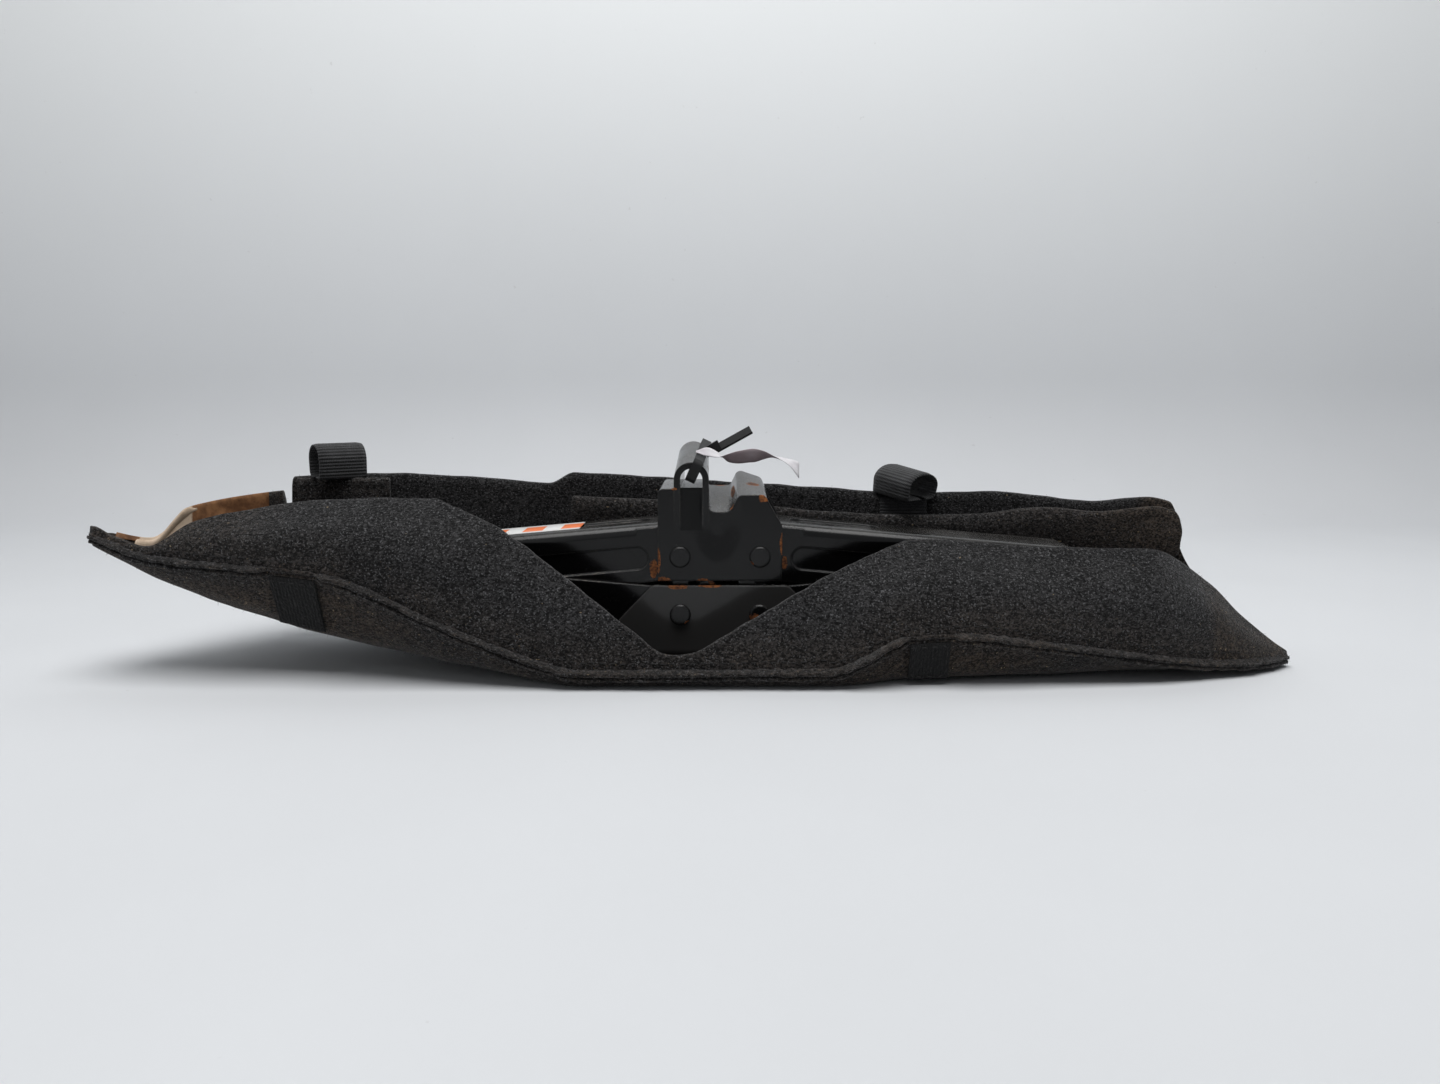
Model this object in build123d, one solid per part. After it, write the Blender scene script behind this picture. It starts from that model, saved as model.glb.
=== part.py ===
"""Scissor car jack, folded down, standing in its open felt storage bag.

Millimetres. +X runs along the lead screw towards the crank eye, +Y from the bag's cut-out front
to its back wall, +Z up. The origin is the middle of the jack's foot, on the surface it stands on.
"""

import os
from math import acos, asin, atan, cos, degrees, pi, radians, sin, tan

from build123d import *

# Linkage
ARM_LENGTH = 160.0
PIVOT_SPACING = 38.0
PIVOT_ABOVE_FLOOR = 20.0

# Sheet steel and running clearances
ARM_SHEET = 2.5
PLATE = 3.0
SIDE_GAP = 0.3
PIN_GAP = 0.08
SEAT_GAP = 0.05

# Arms: channel width across the upper flanges, web and flange heights from the pivot line
UPPER_WIDTH = 38.0
UPPER_WEB_HEIGHT = 16.0
LOWER_WEB_HEIGHT = 17.0
FLANGE_REACH = 12.0
BEND_RADIUS = 5.0
WEB_FROM_PIVOT = 6.0
WEB_FROM_TRUNNION = 10.0
RIB_DEPTH = 1.2
SIDE_RIB_HEIGHT = 11.0
WEB_RIB_WIDTH = 12.0
RIB_FROM_PIVOT = 15.5
RIB_FROM_TRUNNION = 30.0
WEB_RIB_FROM_PIVOT = 14.0
WEB_RIB_LENGTH = 44.0

# Gear sectors that keep the two arms of a pair level
TEETH_PER_TURN = 8
PRESSURE_ANGLE = 30.0
ADDENDUM = 0.65
DEDENDUM = 1.0
FLANK_RELIEF = 0.3
UPPER_TEETH = ((0.0, 1.0), (0.5, 1.5))
LOWER_TEETH = ((0.0, 1.0, 2.0), (0.5, 1.5))

# Pivot rivets
RIVET_DIAMETER = 8.0
RIVET_HEAD_DIAMETER = 10.0
RIVET_HEAD_HEIGHT = 1.8
RIVET_HEAD_CHAMFER = 0.6
SPACER_DIAMETER = 11.0

# Base
BASE_HALF_LENGTH = 60.0
BASE_RIM_HEIGHT = 7.0
BASE_FLANGE_TOP = 14.0
BASE_FLANGE_HALF_TOP = 32.5
BASE_SHOULDER_HALF = 46.0
BASE_BEND_RADIUS = 6.0
BASE_CORNER_RADIUS = 5.0
BASE_BEAD_LENGTH = 84.0
BASE_BEAD_WIDTH = 14.0
BASE_BEAD_HEIGHT = 1.5

# Saddle, measured from its pivot line and its middle. Its sill groove and lobe rise to the back.
SADDLE_LEFT = -29.5
SADDLE_RIGHT = 29.5
SADDLE_SKIRT = 11.5
SHOULDER_HEIGHT = 32.5
SHOULDER_END = -6.5
GROOVE_WIDTH = 10.5
GROOVE_FLOOR = 21.5
GROOVE_RISE = 8.0
GROOVE_LAND = 4.0
GROOVE_LAND_DEPTH = 0.05
LOBE_CREST = 9.0
LOBE_HEIGHT = 29.5
LOBE_SHOULDER = 21.0
LOBE_SHOULDER_RISE = 4.0
LOBE_DROP = 15.0
SADDLE_FRONT_ROUNDS = (3.0, 0.5, 4.5, 3.5, 3.0, 4.0, 6.0)
SADDLE_BACK_ROUNDS = (3.0, 0.5, 2.0, 2.5, 3.0, 4.0, 6.0)
SIDE_SHARE = 0.9
LOOP_MIDDLE = -13.5
LOOP_WIDTH = 16.5
LOOP_HEIGHT = 45.0
LOOP_RISE = 7.0
LOOP_TAPER = 1.0
LOOP_FOOT = 18.0
LOBE_END = 22.5
POCKET_FOOT = 13.0
POCKET_DEPTH = 5.0
LIP_HEIGHT = 0.8

# Trunnions
TRUNNION_DIAMETER = 24.0
TRUNNION_PIN_DIAMETER = 12.0
TRUNNION_HEAD_DIAMETER = 15.0
TRUNNION_HEAD_HEIGHT = 2.0
WASHER_DIAMETER = 18.0
WASHER_THICKNESS = 1.2
THRUST_FLAT = 9.5

# Lead screw, its thrust bearing and its ends
SCREW_DIAMETER = 14.0
RACE_DIAMETER = 22.0
RACE_THICKNESS = 2.0
BALL_DIAMETER = 3.5
BALL_COUNT = 12
COLLAR_DIAMETER = 20.0
COLLAR_LENGTH = 6.0
EYE_DIAMETER = 27.0
EYE_BORE = 14.0
EYE_THICKNESS = 8.0
RETAINER_DIAMETER = 19.0
RETAINER_THICKNESS = 2.0
STOP_GAP = 6.0
STOP_LENGTH = 6.0

# Cable tie through the saddle's loop
TIE_WIDTH = 4.8
TIE_THICKNESS = 1.3
TIE_DROP = 9.0
TIE_CORNER = 3.0
TIE_HEAD = (8.0, 6.5, 5.0)
TIE_HEAD_PLACE = (4.6, 0.9)
TIE_TURN = 25.0
TIE_SHIFT = 1.2
TIE_TAIL_LENGTH = 21.0
TIE_TAIL_ANGLE = 29.0
TIE_TAIL_TWIST = 40.0
TIE_TAIL_DROP = 1.0

# Paper slip under the tie's head. Stations from the saddle's middle: x, y, z, turn and width.
SLIP_THICKNESS = 0.4
SLIP_STATIONS = (
    (-11.5, -16.0, 48.9, 70.0, 1.5),
    (-6.9, -13.0, 48.8, 50.0, 5.5),
    (-1.0, -10.0, 47.0, 75.0, 7.0),
    (4.0, -8.5, 45.5, 125.0, 7.5),
    (9.8, -8.0, 46.0, 150.0, 7.5),
    (15.7, -7.5, 46.7, 155.0, 7.5),
    (20.6, -7.0, 46.7, 130.0, 7.5),
    (26.5, -6.5, 45.8, 95.0, 7.0),
    (33.5, -6.0, 43.1, 70.0, 6.0),
    (38.5, -6.0, 40.5, 10.0, 6.0),
)

# Felt bag
FELT = 3.0
FOLD_RADIUS = 5.0
# The underside is lofted this much too low and cut level with the ground, so that it stands on a true plane.
SOLE_CUT = 0.05
BAG_BACK = 50.0
# Stations along X. Body: seam y, seam z, front corner y, floor z, back corner y, back top y and z.
# Panel: bulge y and z, top edge y and z.
BAG_STATIONS = {
    -289.0: ((-42.0, 65.0, -39.0, 60.5, -31.0, -28.0, 65.0), (-41.6, 67.0, -41.0, 69.0)),
    -275.0: ((-44.6, 61.1, -39.5, 52.5, -16.0, -11.4, 58.5), (-44.2, 63.1, -43.5, 65.1)),
    -262.0: ((-47.0, 57.4, -40.0, 45.0, -2.0, 4.0, 73.5), (-46.6, 59.4, -45.8, 61.4)),
    -242.0: ((-49.0, 54.6, -39.0, 36.0, 30.0, 34.0, 77.0), (-48.0, 65.0, -40.0, 72.3)),
    -233.0: ((-50.3, 53.9, -39.0, 32.1, 45.0, 47.0, 77.5), (-49.3, 65.6, -38.1, 74.7)),
    -228.0: ((-51.0, 53.5, -39.0, 30.0, BAG_BACK, BAG_BACK, 84.8), (-50.0, 66.0, -37.0, 76.0)),
    -180.0: ((-55.0, 49.5, -41.0, 16.0, BAG_BACK, BAG_BACK, 86.5), (-54.0, 68.0, -34.0, 81.5)),
    -125.0: ((-59.0, 27.5, -49.0, 6.5, BAG_BACK, BAG_BACK, 84.3), (-57.0, 62.0, -34.0, 83.0)),
    -92.0: ((-61.0, 14.5, -55.0, 2.5, BAG_BACK, BAG_BACK, 81.5), (-58.0, 50.0, -35.0, 82.0)),
    -78.0: ((-62.0, 10.0, -58.0, 1.0, BAG_BACK, BAG_BACK, 87.0), (-58.5, 45.0, -36.0, 80.0)),
    -64.0: ((-63.0, 6.9, -60.0, 0.0, BAG_BACK, BAG_BACK, 86.3), (-59.0, 40.0, -37.0, 78.0)),
    50.0: ((-63.0, 7.5, -60.0, 0.0, BAG_BACK, BAG_BACK, 79.2), (-58.5, 37.0, -35.5, 70.0)),
    64.0: ((-63.0, 12.7, -58.5, 0.0, BAG_BACK, BAG_BACK, 78.4), (-58.0, 38.0, -35.0, 68.0)),
    84.0: ((-62.0, 22.0, -55.0, 0.7, BAG_BACK, BAG_BACK, 76.4), (-58.0, 42.0, -34.0, 64.5)),
    108.0: ((-61.0, 23.0, -54.0, 1.2, BAG_BACK, BAG_BACK, 75.9), (-57.5, 45.0, -34.0, 63.5)),
    150.0: ((-57.0, 18.2, -50.0, 2.0, BAG_BACK, BAG_BACK, 76.6), (-55.5, 43.0, -34.0, 60.3)),
    200.0: ((-52.0, 11.0, -43.0, 2.5, BAG_BACK, BAG_BACK, 71.7), (-51.5, 41.0, -34.0, 58.8)),
    230.0: ((-44.0, 7.0, -36.0, 2.0, BAG_BACK, BAG_BACK, 73.6), (-43.5, 30.0, -32.0, 42.1)),
    246.0: ((-39.0, 5.8, -32.0, 1.5, BAG_BACK, BAG_BACK, 71.0), (-38.5, 19.0, -31.0, 28.0)),
    258.0: ((-33.0, 5.0, -27.0, 1.0, 30.0, 34.0, 30.0), (-32.5, 12.0, -28.0, 18.5)),
    274.0: ((-24.0, 3.6, -18.5, 0.4, -8.0, -3.0, 4.0), (-23.6, 5.6, -22.8, 7.6)),
}
# The notch that shows the jack: corners in X and Z along its edge, and the round at each
NOTCH_EDGE = (
    (-150.0, 89.2),
    (-107.0, 73.6),
    (-72.0, 50.5),
    (-26.0, 14.6),
    (-12.5, 14.6),
    (18.0, 32.3),
    (54.5, 51.6),
    (110.0, 72.0),
)
NOTCH_ROUNDS = (60.0, 60.0, 8.0, 8.0, 60.0, 60.0)

# Bag furniture
ROLL_START = -79.0
ROLL_END = 244.0
ROLL_DEPTH = 13.0
ROLL_HEIGHT = 33.0
ROLL_ROUND = 6.0
ROLL_GAP = 2.5
WEBBING = 1.6
STRAP_LEG = 15.0
STRAP_WIDTH = 25.0
# Place along X, the loop's half depth and height, and its turn about the upright
STRAPS = {"left": (-204.0, 9.0, 19.0, 38.0), "right": (98.5, 12.0, 15.5, -50.0)}
STRAP_PATCH = (-225.0, -176.0, 12.0)
PATCH_THICKNESS = 1.4
PATCH_GAP = 0.3
PATCHES = {"left": (-203.0, -182.0, 0.06, 0.82), "right": (85.0, 103.0, 0.08, 0.86)}

# Places worked out from the sizes above
LOWER_WIDTH = UPPER_WIDTH + 2 * SIDE_GAP + 2 * ARM_SHEET
BASE_WIDTH = LOWER_WIDTH + 2 * SIDE_GAP + 2 * PLATE
SADDLE_WIDTH = BASE_WIDTH
SPACER_THICKNESS = ARM_SHEET
HALF_SPACING = PIVOT_SPACING / 2
MODULE = PIVOT_SPACING / TEETH_PER_TURN
ROOT_RADIUS = HALF_SPACING - DEDENDUM * MODULE
TIP_RADIUS = HALF_SPACING + ADDENDUM * MODULE
# Folded, the lower arms' teeth just clear the spacers on the saddle's rivets.
PIVOT_RISE = TIP_RADIUS + SPACER_DIAMETER / 2 + SIDE_GAP
FOLDED_ANGLE = degrees(asin(PIVOT_RISE / (2 * ARM_LENGTH)))
BASE_PIVOT_Z = FELT + PLATE + PIVOT_ABOVE_FLOOR
TRUNNION_X = HALF_SPACING + ARM_LENGTH * cos(radians(FOLDED_ANGLE))
TRUNNION_Z = BASE_PIVOT_Z + PIVOT_RISE / 2
SADDLE_PIVOT_Z = BASE_PIVOT_Z + PIVOT_RISE
TURN_ROUND = Rot(0, 0, 180)


def cylinder_y(diameter, start, end):
    """A cylinder along Y between two places."""
    length = end - start
    return Pos(0, (start + end) / 2, 0) * Rot(90, 0, 0) * Cylinder(diameter / 2, length)


def cylinder_x(diameter, start, end):
    """A cylinder along X between two places."""
    length = end - start
    return Pos((start + end) / 2, 0, 0) * Rot(0, 90, 0) * Cylinder(diameter / 2, length)


def slab_y(sketch, start, end):
    """A sketch drawn in X and Z, given thickness between two places along Y."""
    return extrude(Plane.XZ.offset(-end) * sketch, amount=end - start)


def slab_x(sketch, start, end):
    """A sketch drawn in Y and Z, given thickness between two places along X."""
    return extrude(Plane.YZ.offset(start) * sketch, amount=end - start, dir=(1, 0, 0))


def involute_turn(radius):
    """How far a tooth flank has turned in, in radians, at a radius."""
    flank = acos(HALF_SPACING * cos(radians(PRESSURE_ANGLE)) / radius)
    pitch_flank = radians(PRESSURE_ANGLE)
    return (tan(flank) - flank) - (tan(pitch_flank) - pitch_flank)


def gear_tooth(angle):
    """One involute tooth about the origin, from inside the root circle to the tip."""
    half_turn = pi / (2 * TEETH_PER_TURN) - FLANK_RELIEF / HALF_SPACING
    base_radius = HALF_SPACING * cos(radians(PRESSURE_ANGLE))
    radii = [base_radius + (TIP_RADIUS - base_radius) * step / 4 for step in range(5)]
    upper = [(r * cos(half_turn - involute_turn(r)), r * sin(half_turn - involute_turn(r))) for r in radii]
    lower = [(x, -y) for x, y in reversed(upper)]
    foot = ROOT_RADIUS - ARM_SHEET
    with BuildSketch() as tooth:
        with BuildLine():
            Polyline((foot, lower[-1][1]), (foot, upper[0][1]), upper[0])
            Spline(*upper)
            Line(upper[-1], lower[0])
            Spline(*lower)
            Line(lower[-1], (foot, lower[-1][1]))
        make_face()
    return Rot(0, 0, angle) * tooth.sketch


def arm_head(side, phases):
    """A flange's round head with its gear teeth. side is +1 for an arm with its web on top."""
    pitch_angle = 360 / TEETH_PER_TURN
    head = Circle(ROOT_RADIUS)
    for phase in phases:
        head += gear_tooth(-side * (phase * pitch_angle + FOLDED_ANGLE))
    neck_length = WEB_FROM_PIVOT + ROOT_RADIUS
    neck_height = ROOT_RADIUS + FLANGE_REACH
    neck_middle = side * (ROOT_RADIUS - FLANGE_REACH) / 2
    return head + Pos(-neck_length / 2, neck_middle) * Rectangle(neck_length, neck_height)


def channel_section(width, web_height, side):
    """A channel's cross-section in Y and Z, with rounded bends at the web."""
    height = web_height + FLANGE_REACH
    middle = side * (web_height - FLANGE_REACH) / 2
    outer = Pos(0, middle) * Rectangle(width, height)
    web_corners = outer.vertices().group_by(Axis.Y)[-1 if side > 0 else 0]
    outer = fillet(web_corners, BEND_RADIUS)
    inner = Pos(0, middle - side * ARM_SHEET) * Rectangle(width - 2 * ARM_SHEET, height)
    web_corners = inner.vertices().group_by(Axis.Y)[-1 if side > 0 else 0]
    inner = fillet(web_corners, BEND_RADIUS - ARM_SHEET)
    return outer - inner


def arm_outline(web_height, side):
    """The channel's outline seen from the front, from its web's start to its round end."""
    start = -WEB_FROM_PIVOT
    web_end = -ARM_LENGTH + WEB_FROM_TRUNNION
    with BuildSketch() as outline:
        with BuildLine():
            Polyline(
                (-ARM_LENGTH, -side * FLANGE_REACH),
                (start, -side * FLANGE_REACH),
                (start, side * web_height),
                (web_end, side * web_height),
                (-ARM_LENGTH, side * FLANGE_REACH),
            )
            ThreePointArc(
                (-ARM_LENGTH, side * FLANGE_REACH),
                (-ARM_LENGTH - FLANGE_REACH, 0),
                (-ARM_LENGTH, -side * FLANGE_REACH),
            )
        make_face()
    return outline.sketch


def left_arm(width, web_height, side, teeth, side_ribs):
    """A left arm about its pivot, lying along -X. side is +1 with the web on top, -1 with it below."""
    front_teeth, back_teeth = teeth
    half = width / 2
    reach = ARM_LENGTH + 2 * FLANGE_REACH
    section = Plane.YZ * channel_section(width, web_height, side)
    channel = extrude(Pos(-reach, 0, 0) * section, amount=reach)
    arm = channel & slab_y(arm_outline(web_height, side), -half, half)
    arm += slab_y(arm_head(side, front_teeth), -half, -half + ARM_SHEET)
    arm += slab_y(arm_head(side, back_teeth), half - ARM_SHEET, half)

    rib_length = ARM_LENGTH - RIB_FROM_PIVOT - RIB_FROM_TRUNNION
    rib_middle = -(RIB_FROM_PIVOT + rib_length / 2)
    groove = Pos(rib_middle, 0) * SlotOverall(rib_length, SIDE_RIB_HEIGHT)
    swelling = Pos(rib_middle, 0) * SlotOverall(rib_length + RIB_DEPTH, SIDE_RIB_HEIGHT + RIB_DEPTH)
    for face in (-1, 1) if side_ribs else ():
        skin = sorted((face * half, face * (half - RIB_DEPTH)))
        inside = sorted((face * (half - ARM_SHEET), face * (half - ARM_SHEET - RIB_DEPTH)))
        arm += slab_y(swelling, *inside)
        arm -= slab_y(groove, *skin)
    web_middle = -(WEB_RIB_FROM_PIVOT + WEB_RIB_LENGTH / 2)
    web_groove = Pos(web_middle, 0) * SlotOverall(WEB_RIB_LENGTH, WEB_RIB_WIDTH)
    web_swelling = Pos(web_middle, 0) * SlotOverall(WEB_RIB_LENGTH + RIB_DEPTH, WEB_RIB_WIDTH + RIB_DEPTH)
    web_face = side * web_height
    arm += extrude(Pos(0, 0, web_face - side * ARM_SHEET) * web_swelling, amount=-side * RIB_DEPTH)
    arm -= extrude(Pos(0, 0, web_face) * web_groove, amount=-side * RIB_DEPTH)

    arm -= cylinder_y(RIVET_DIAMETER + 2 * PIN_GAP, -width, width)
    arm -= Pos(-ARM_LENGTH, 0, 0) * cylinder_y(TRUNNION_PIN_DIAMETER + 2 * PIN_GAP, -width, width)
    return arm


def upper_arms():
    left = Pos(-HALF_SPACING, 0, SADDLE_PIVOT_Z) * Rot(0, -FOLDED_ANGLE, 0) * left_arm(
        UPPER_WIDTH, UPPER_WEB_HEIGHT, 1, UPPER_TEETH, True
    )
    return {"upper_arm_left": left, "upper_arm_right": TURN_ROUND * left}


def lower_arms():
    left = Pos(-HALF_SPACING, 0, BASE_PIVOT_Z) * Rot(0, FOLDED_ANGLE, 0) * left_arm(
        LOWER_WIDTH, LOWER_WEB_HEIGHT, -1, LOWER_TEETH, False
    )
    return {"lower_arm_left": left, "lower_arm_right": TURN_ROUND * left}


def rivet(width):
    """A pivot rivet along Y through plates of that outer width, with a head on each end."""
    half = width / 2
    pin = cylinder_y(RIVET_DIAMETER, -half, half)
    for face in (-1, 1):
        head = cylinder_y(RIVET_HEAD_DIAMETER, *sorted((face * half, face * (half + RIVET_HEAD_HEIGHT))))
        rim = head.edges().sort_by(Axis.Y)[-1 if face > 0 else 0]
        pin += chamfer(rim, RIVET_HEAD_CHAMFER)
    return pin


def rivet_pair(width, height):
    return [Pos(face * HALF_SPACING, 0, height) * rivet(width) for face in (-1, 1)]


def base():
    """Pressed base: a channel whose flanges carry the lower pivots, with a bead along its floor."""
    flange_height = PLATE + PIVOT_ABOVE_FLOOR + BASE_FLANGE_TOP
    outer = Pos(0, flange_height / 2) * Rectangle(BASE_WIDTH, flange_height)
    outer = fillet(outer.vertices().group_by(Axis.Y)[0], BASE_BEND_RADIUS)
    inner = Pos(0, flange_height / 2 + PLATE) * Rectangle(BASE_WIDTH - 2 * PLATE, flange_height)
    inner = fillet(inner.vertices().group_by(Axis.Y)[0], BASE_BEND_RADIUS - PLATE)
    channel = extrude(Plane.YZ * (outer - inner), amount=BASE_HALF_LENGTH, both=True)

    shoulder_height = PLATE + PIVOT_ABOVE_FLOOR
    half_outline = [
        (BASE_HALF_LENGTH, 0),
        (BASE_HALF_LENGTH, BASE_RIM_HEIGHT),
        (BASE_SHOULDER_HALF, shoulder_height),
        (BASE_FLANGE_HALF_TOP, flange_height),
    ]
    outline = Polygon(*half_outline, *[(-x, z) for x, z in reversed(half_outline)], align=None)
    outline = fillet([v for v in outline.vertices() if v.Y > 0], BASE_CORNER_RADIUS)
    shape = channel & slab_y(outline, -BASE_WIDTH, BASE_WIDTH)

    bead = SlotOverall(BASE_BEAD_LENGTH, BASE_BEAD_WIDTH)
    bead_roof = SlotOverall(BASE_BEAD_LENGTH + BASE_BEAD_HEIGHT, BASE_BEAD_WIDTH + BASE_BEAD_HEIGHT)
    shape += extrude(Pos(0, 0, PLATE) * bead_roof, amount=BASE_BEAD_HEIGHT)
    shape -= extrude(bead, amount=BASE_BEAD_HEIGHT)
    shape = Pos(0, 0, FELT) * shape
    for face in (-1, 1):
        hole = cylinder_y(RIVET_DIAMETER + 2 * SEAT_GAP, -BASE_WIDTH, BASE_WIDTH)
        shape -= Pos(face * HALF_SPACING, 0, BASE_PIVOT_Z) * hole
    return shape


def saddle_corners(back):
    """The saddle's corners seen from the front: skirt, shoulder, sill groove, lobe and right side."""
    rise = GROOVE_RISE if back else 0
    shoulder_rise = LOBE_SHOULDER_RISE if back else 0
    groove_half = GROOVE_WIDTH / 2
    return [
        Vector(SADDLE_LEFT, -SADDLE_SKIRT),
        Vector(SADDLE_LEFT, SHOULDER_HEIGHT),
        Vector(SHOULDER_END, SHOULDER_HEIGHT),
        Vector(SHOULDER_END, GROOVE_FLOOR + rise),
        Vector(groove_half, GROOVE_FLOOR + rise),
        Vector(LOBE_CREST, LOBE_HEIGHT + rise),
        Vector(LOBE_SHOULDER, LOBE_HEIGHT + shoulder_rise),
        Vector(SADDLE_RIGHT, LOBE_DROP),
        Vector(SADDLE_RIGHT, -SADDLE_SKIRT),
    ]


def fitting_rounds(corners, rounds):
    """Corner radii that fit: two that share a side are cut down together where the side is short."""
    fitted = [0.0, *rounds, 0.0]
    for place, (start, end) in enumerate(zip(corners, corners[1:])):
        room = SIDE_SHARE * (end - start).length
        share = min(1.0, room / max(fitted[place] + fitted[place + 1], room))
        fitted[place] *= share
        fitted[place + 1] *= share
    return fitted[1:-1]


def saddle_block(inset, reach):
    """The saddle's outside, or with an inset its hollow, between its front and its back face."""
    sections = []
    for y in (-reach, reach):
        back = y > 0
        corners = saddle_corners(back)
        moved = mitred(corners, -inset)
        moved[0] -= Vector(0, 2 * inset)
        moved[-1] -= Vector(0, 2 * inset)
        rounds = fitting_rounds(moved, SADDLE_BACK_ROUNDS if back else SADDLE_FRONT_ROUNDS)
        with BuildSketch() as face:
            with BuildLine():
                FilletPolyline(*moved, radius=rounds)
                Line(moved[-1], moved[0])
            make_face()
        sections.append(Plane.XZ.offset(-y) * face.sketch)
    return loft(sections, ruled=True)


def loop_slot(inset, foot, back):
    """The saddle loop's round-topped outline, seen from the front."""
    height = LOOP_HEIGHT + (LOOP_RISE if back else 0) - inset
    width = LOOP_WIDTH - (LOOP_TAPER if back else 0) - 2 * inset
    with BuildSketch() as outline:
        with BuildLine():
            left, right = LOOP_MIDDLE - width / 2, LOOP_MIDDLE + width / 2
            spring = height - width / 2
            Polyline((left, spring), (left, foot), (right, foot), (right, spring))
            ThreePointArc((right, spring), (LOOP_MIDDLE, height), (left, spring))
        make_face()
    return outline.sketch


def loop_block(inset, foot, reach):
    sections = [Plane.XZ.offset(-y) * loop_slot(inset, foot, y > 0) for y in (-reach, reach)]
    return loft(sections, ruled=True)


def loop_lip(depth):
    """The rim round the loop's front, which fades into the front plate at the pocket's foot."""
    top = LOOP_HEIGHT + PLATE
    face = -depth - LIP_HEIGHT
    corners = [(face, top), (face, SHOULDER_HEIGHT), (-depth, POCKET_FOOT), (PLATE - depth, POCKET_FOOT)]
    taper = slab_x(Polygon(*corners, (PLATE - depth, top), align=None), SADDLE_LEFT, SADDLE_RIGHT)
    return slab_y(loop_slot(0, POCKET_FOOT, False), face, PLATE - depth) & taper


def pocketed(shell, depth):
    """The front plate pressed in below the loop, deepest at the shoulder and level at its foot."""
    half = LOOP_WIDTH / 2
    floor = -depth + POCKET_DEPTH
    wall = [(-depth, POCKET_FOOT), (-depth, SHOULDER_HEIGHT), (floor + PLATE, SHOULDER_HEIGHT)]
    wall = Polygon(*wall, (PLATE - depth, POCKET_FOOT), align=None)
    shell += slab_x(wall, LOOP_MIDDLE - half, LOOP_MIDDLE + half)
    face = -depth - PLATE
    hollow = [(face, POCKET_FOOT), (-depth, POCKET_FOOT), (floor, SHOULDER_HEIGHT), (face, SHOULDER_HEIGHT)]
    hollow = slab_x(Polygon(*hollow, align=None), SADDLE_LEFT, SADDLE_RIGHT)
    return shell - (slab_y(loop_slot(PLATE, POCKET_FOOT, False), face, floor) & hollow)


def saddle():
    """Pressed saddle: two side plates joined by the shoulder, the loop, the sill groove and the lobe."""
    depth = SADDLE_WIDTH / 2
    inner = depth - PLATE
    shell = saddle_block(0, depth) + loop_block(0, LOOP_FOOT, depth)
    shell -= saddle_block(PLATE, inner)
    land_z = GROOVE_FLOOR + GROOVE_RISE / 2 - GROOVE_LAND_DEPTH
    slope = Rot(degrees(atan(GROOVE_RISE / SADDLE_WIDTH)), 0, 0)
    shell -= Pos(0, 0, land_z) * slope * Pos(0, 0, PLATE / 2) * Box(GROOVE_LAND, 2 * SADDLE_WIDTH, PLATE)
    tall = 2 * SHOULDER_HEIGHT
    shell -= Pos(SADDLE_LEFT, 0, SHOULDER_HEIGHT - PLATE - tall / 2) * Box(4 * PLATE, 2 * inner, tall)
    shell -= Pos(LOBE_END + inner, 0, 0) * Box(2 * inner, 2 * inner, 2 * tall)

    shell += loop_lip(depth)
    shell -= loop_block(PLATE, SHOULDER_HEIGHT, depth)
    shell -= slab_y(loop_slot(PLATE, SHOULDER_HEIGHT, False), -depth - PLATE, -depth)
    shell = pocketed(shell, depth)
    for face in (-1, 1):
        hole = cylinder_y(RIVET_DIAMETER + 2 * SEAT_GAP, -SADDLE_WIDTH, SADDLE_WIDTH)
        shell -= Pos(face * HALF_SPACING, 0, 0) * hole
    return Pos(0, 0, SADDLE_PIVOT_Z) * shell


def saddle_spacers():
    """Rings on the saddle's rivets that keep the narrower upper arms in the middle."""
    start = UPPER_WIDTH / 2 + SIDE_GAP
    spacers = []
    for end in (-1, 1):
        for face in (-1, 1):
            span = sorted((face * start, face * (start + SPACER_THICKNESS)))
            ring = cylinder_y(SPACER_DIAMETER, *span) - cylinder_y(RIVET_DIAMETER + 2 * SEAT_GAP, *span)
            spacers.append(Pos(end * HALF_SPACING, 0, SADDLE_PIVOT_Z) * ring)
    return spacers


def trunnion(bore_gap, thrust_flat):
    """A round cross-bar about its own middle, with headed pins on its ends and a bore for the screw."""
    half = UPPER_WIDTH / 2 - ARM_SHEET - SIDE_GAP
    head_start = LOWER_WIDTH / 2 + SIDE_GAP + WASHER_THICKNESS
    bar = cylinder_y(TRUNNION_DIAMETER, -half, half)
    bar += cylinder_y(TRUNNION_PIN_DIAMETER, -head_start, head_start)
    for face in (-1, 1):
        span = sorted((face * head_start, face * (head_start + TRUNNION_HEAD_HEIGHT)))
        head = cylinder_y(TRUNNION_HEAD_DIAMETER, *span)
        rim = head.edges().sort_by(Axis.Y)[-1 if face > 0 else 0]
        bar += fillet(rim, TRUNNION_HEAD_HEIGHT * 0.7)
    bar -= cylinder_x(SCREW_DIAMETER + 2 * bore_gap, -TRUNNION_DIAMETER, TRUNNION_DIAMETER)
    if thrust_flat:
        width = TRUNNION_DIAMETER - 2 * THRUST_FLAT / 2
        bar -= Pos(THRUST_FLAT + width / 2, 0, 0) * Box(width, 2 * half, TRUNNION_DIAMETER)
    return bar


def trunnion_washers():
    """The two washers under a trunnion's pin heads."""
    start = LOWER_WIDTH / 2 + SIDE_GAP
    washers = []
    for face in (-1, 1):
        span = sorted((face * start, face * (start + WASHER_THICKNESS)))
        ring = cylinder_y(WASHER_DIAMETER, *span)
        washers.append(ring - cylinder_y(TRUNNION_PIN_DIAMETER + 2 * SEAT_GAP, *span))
    return washers


def ring_x(outer, inner, start, end):
    return cylinder_x(outer, start, end) - cylinder_x(inner, start, end)


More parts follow.
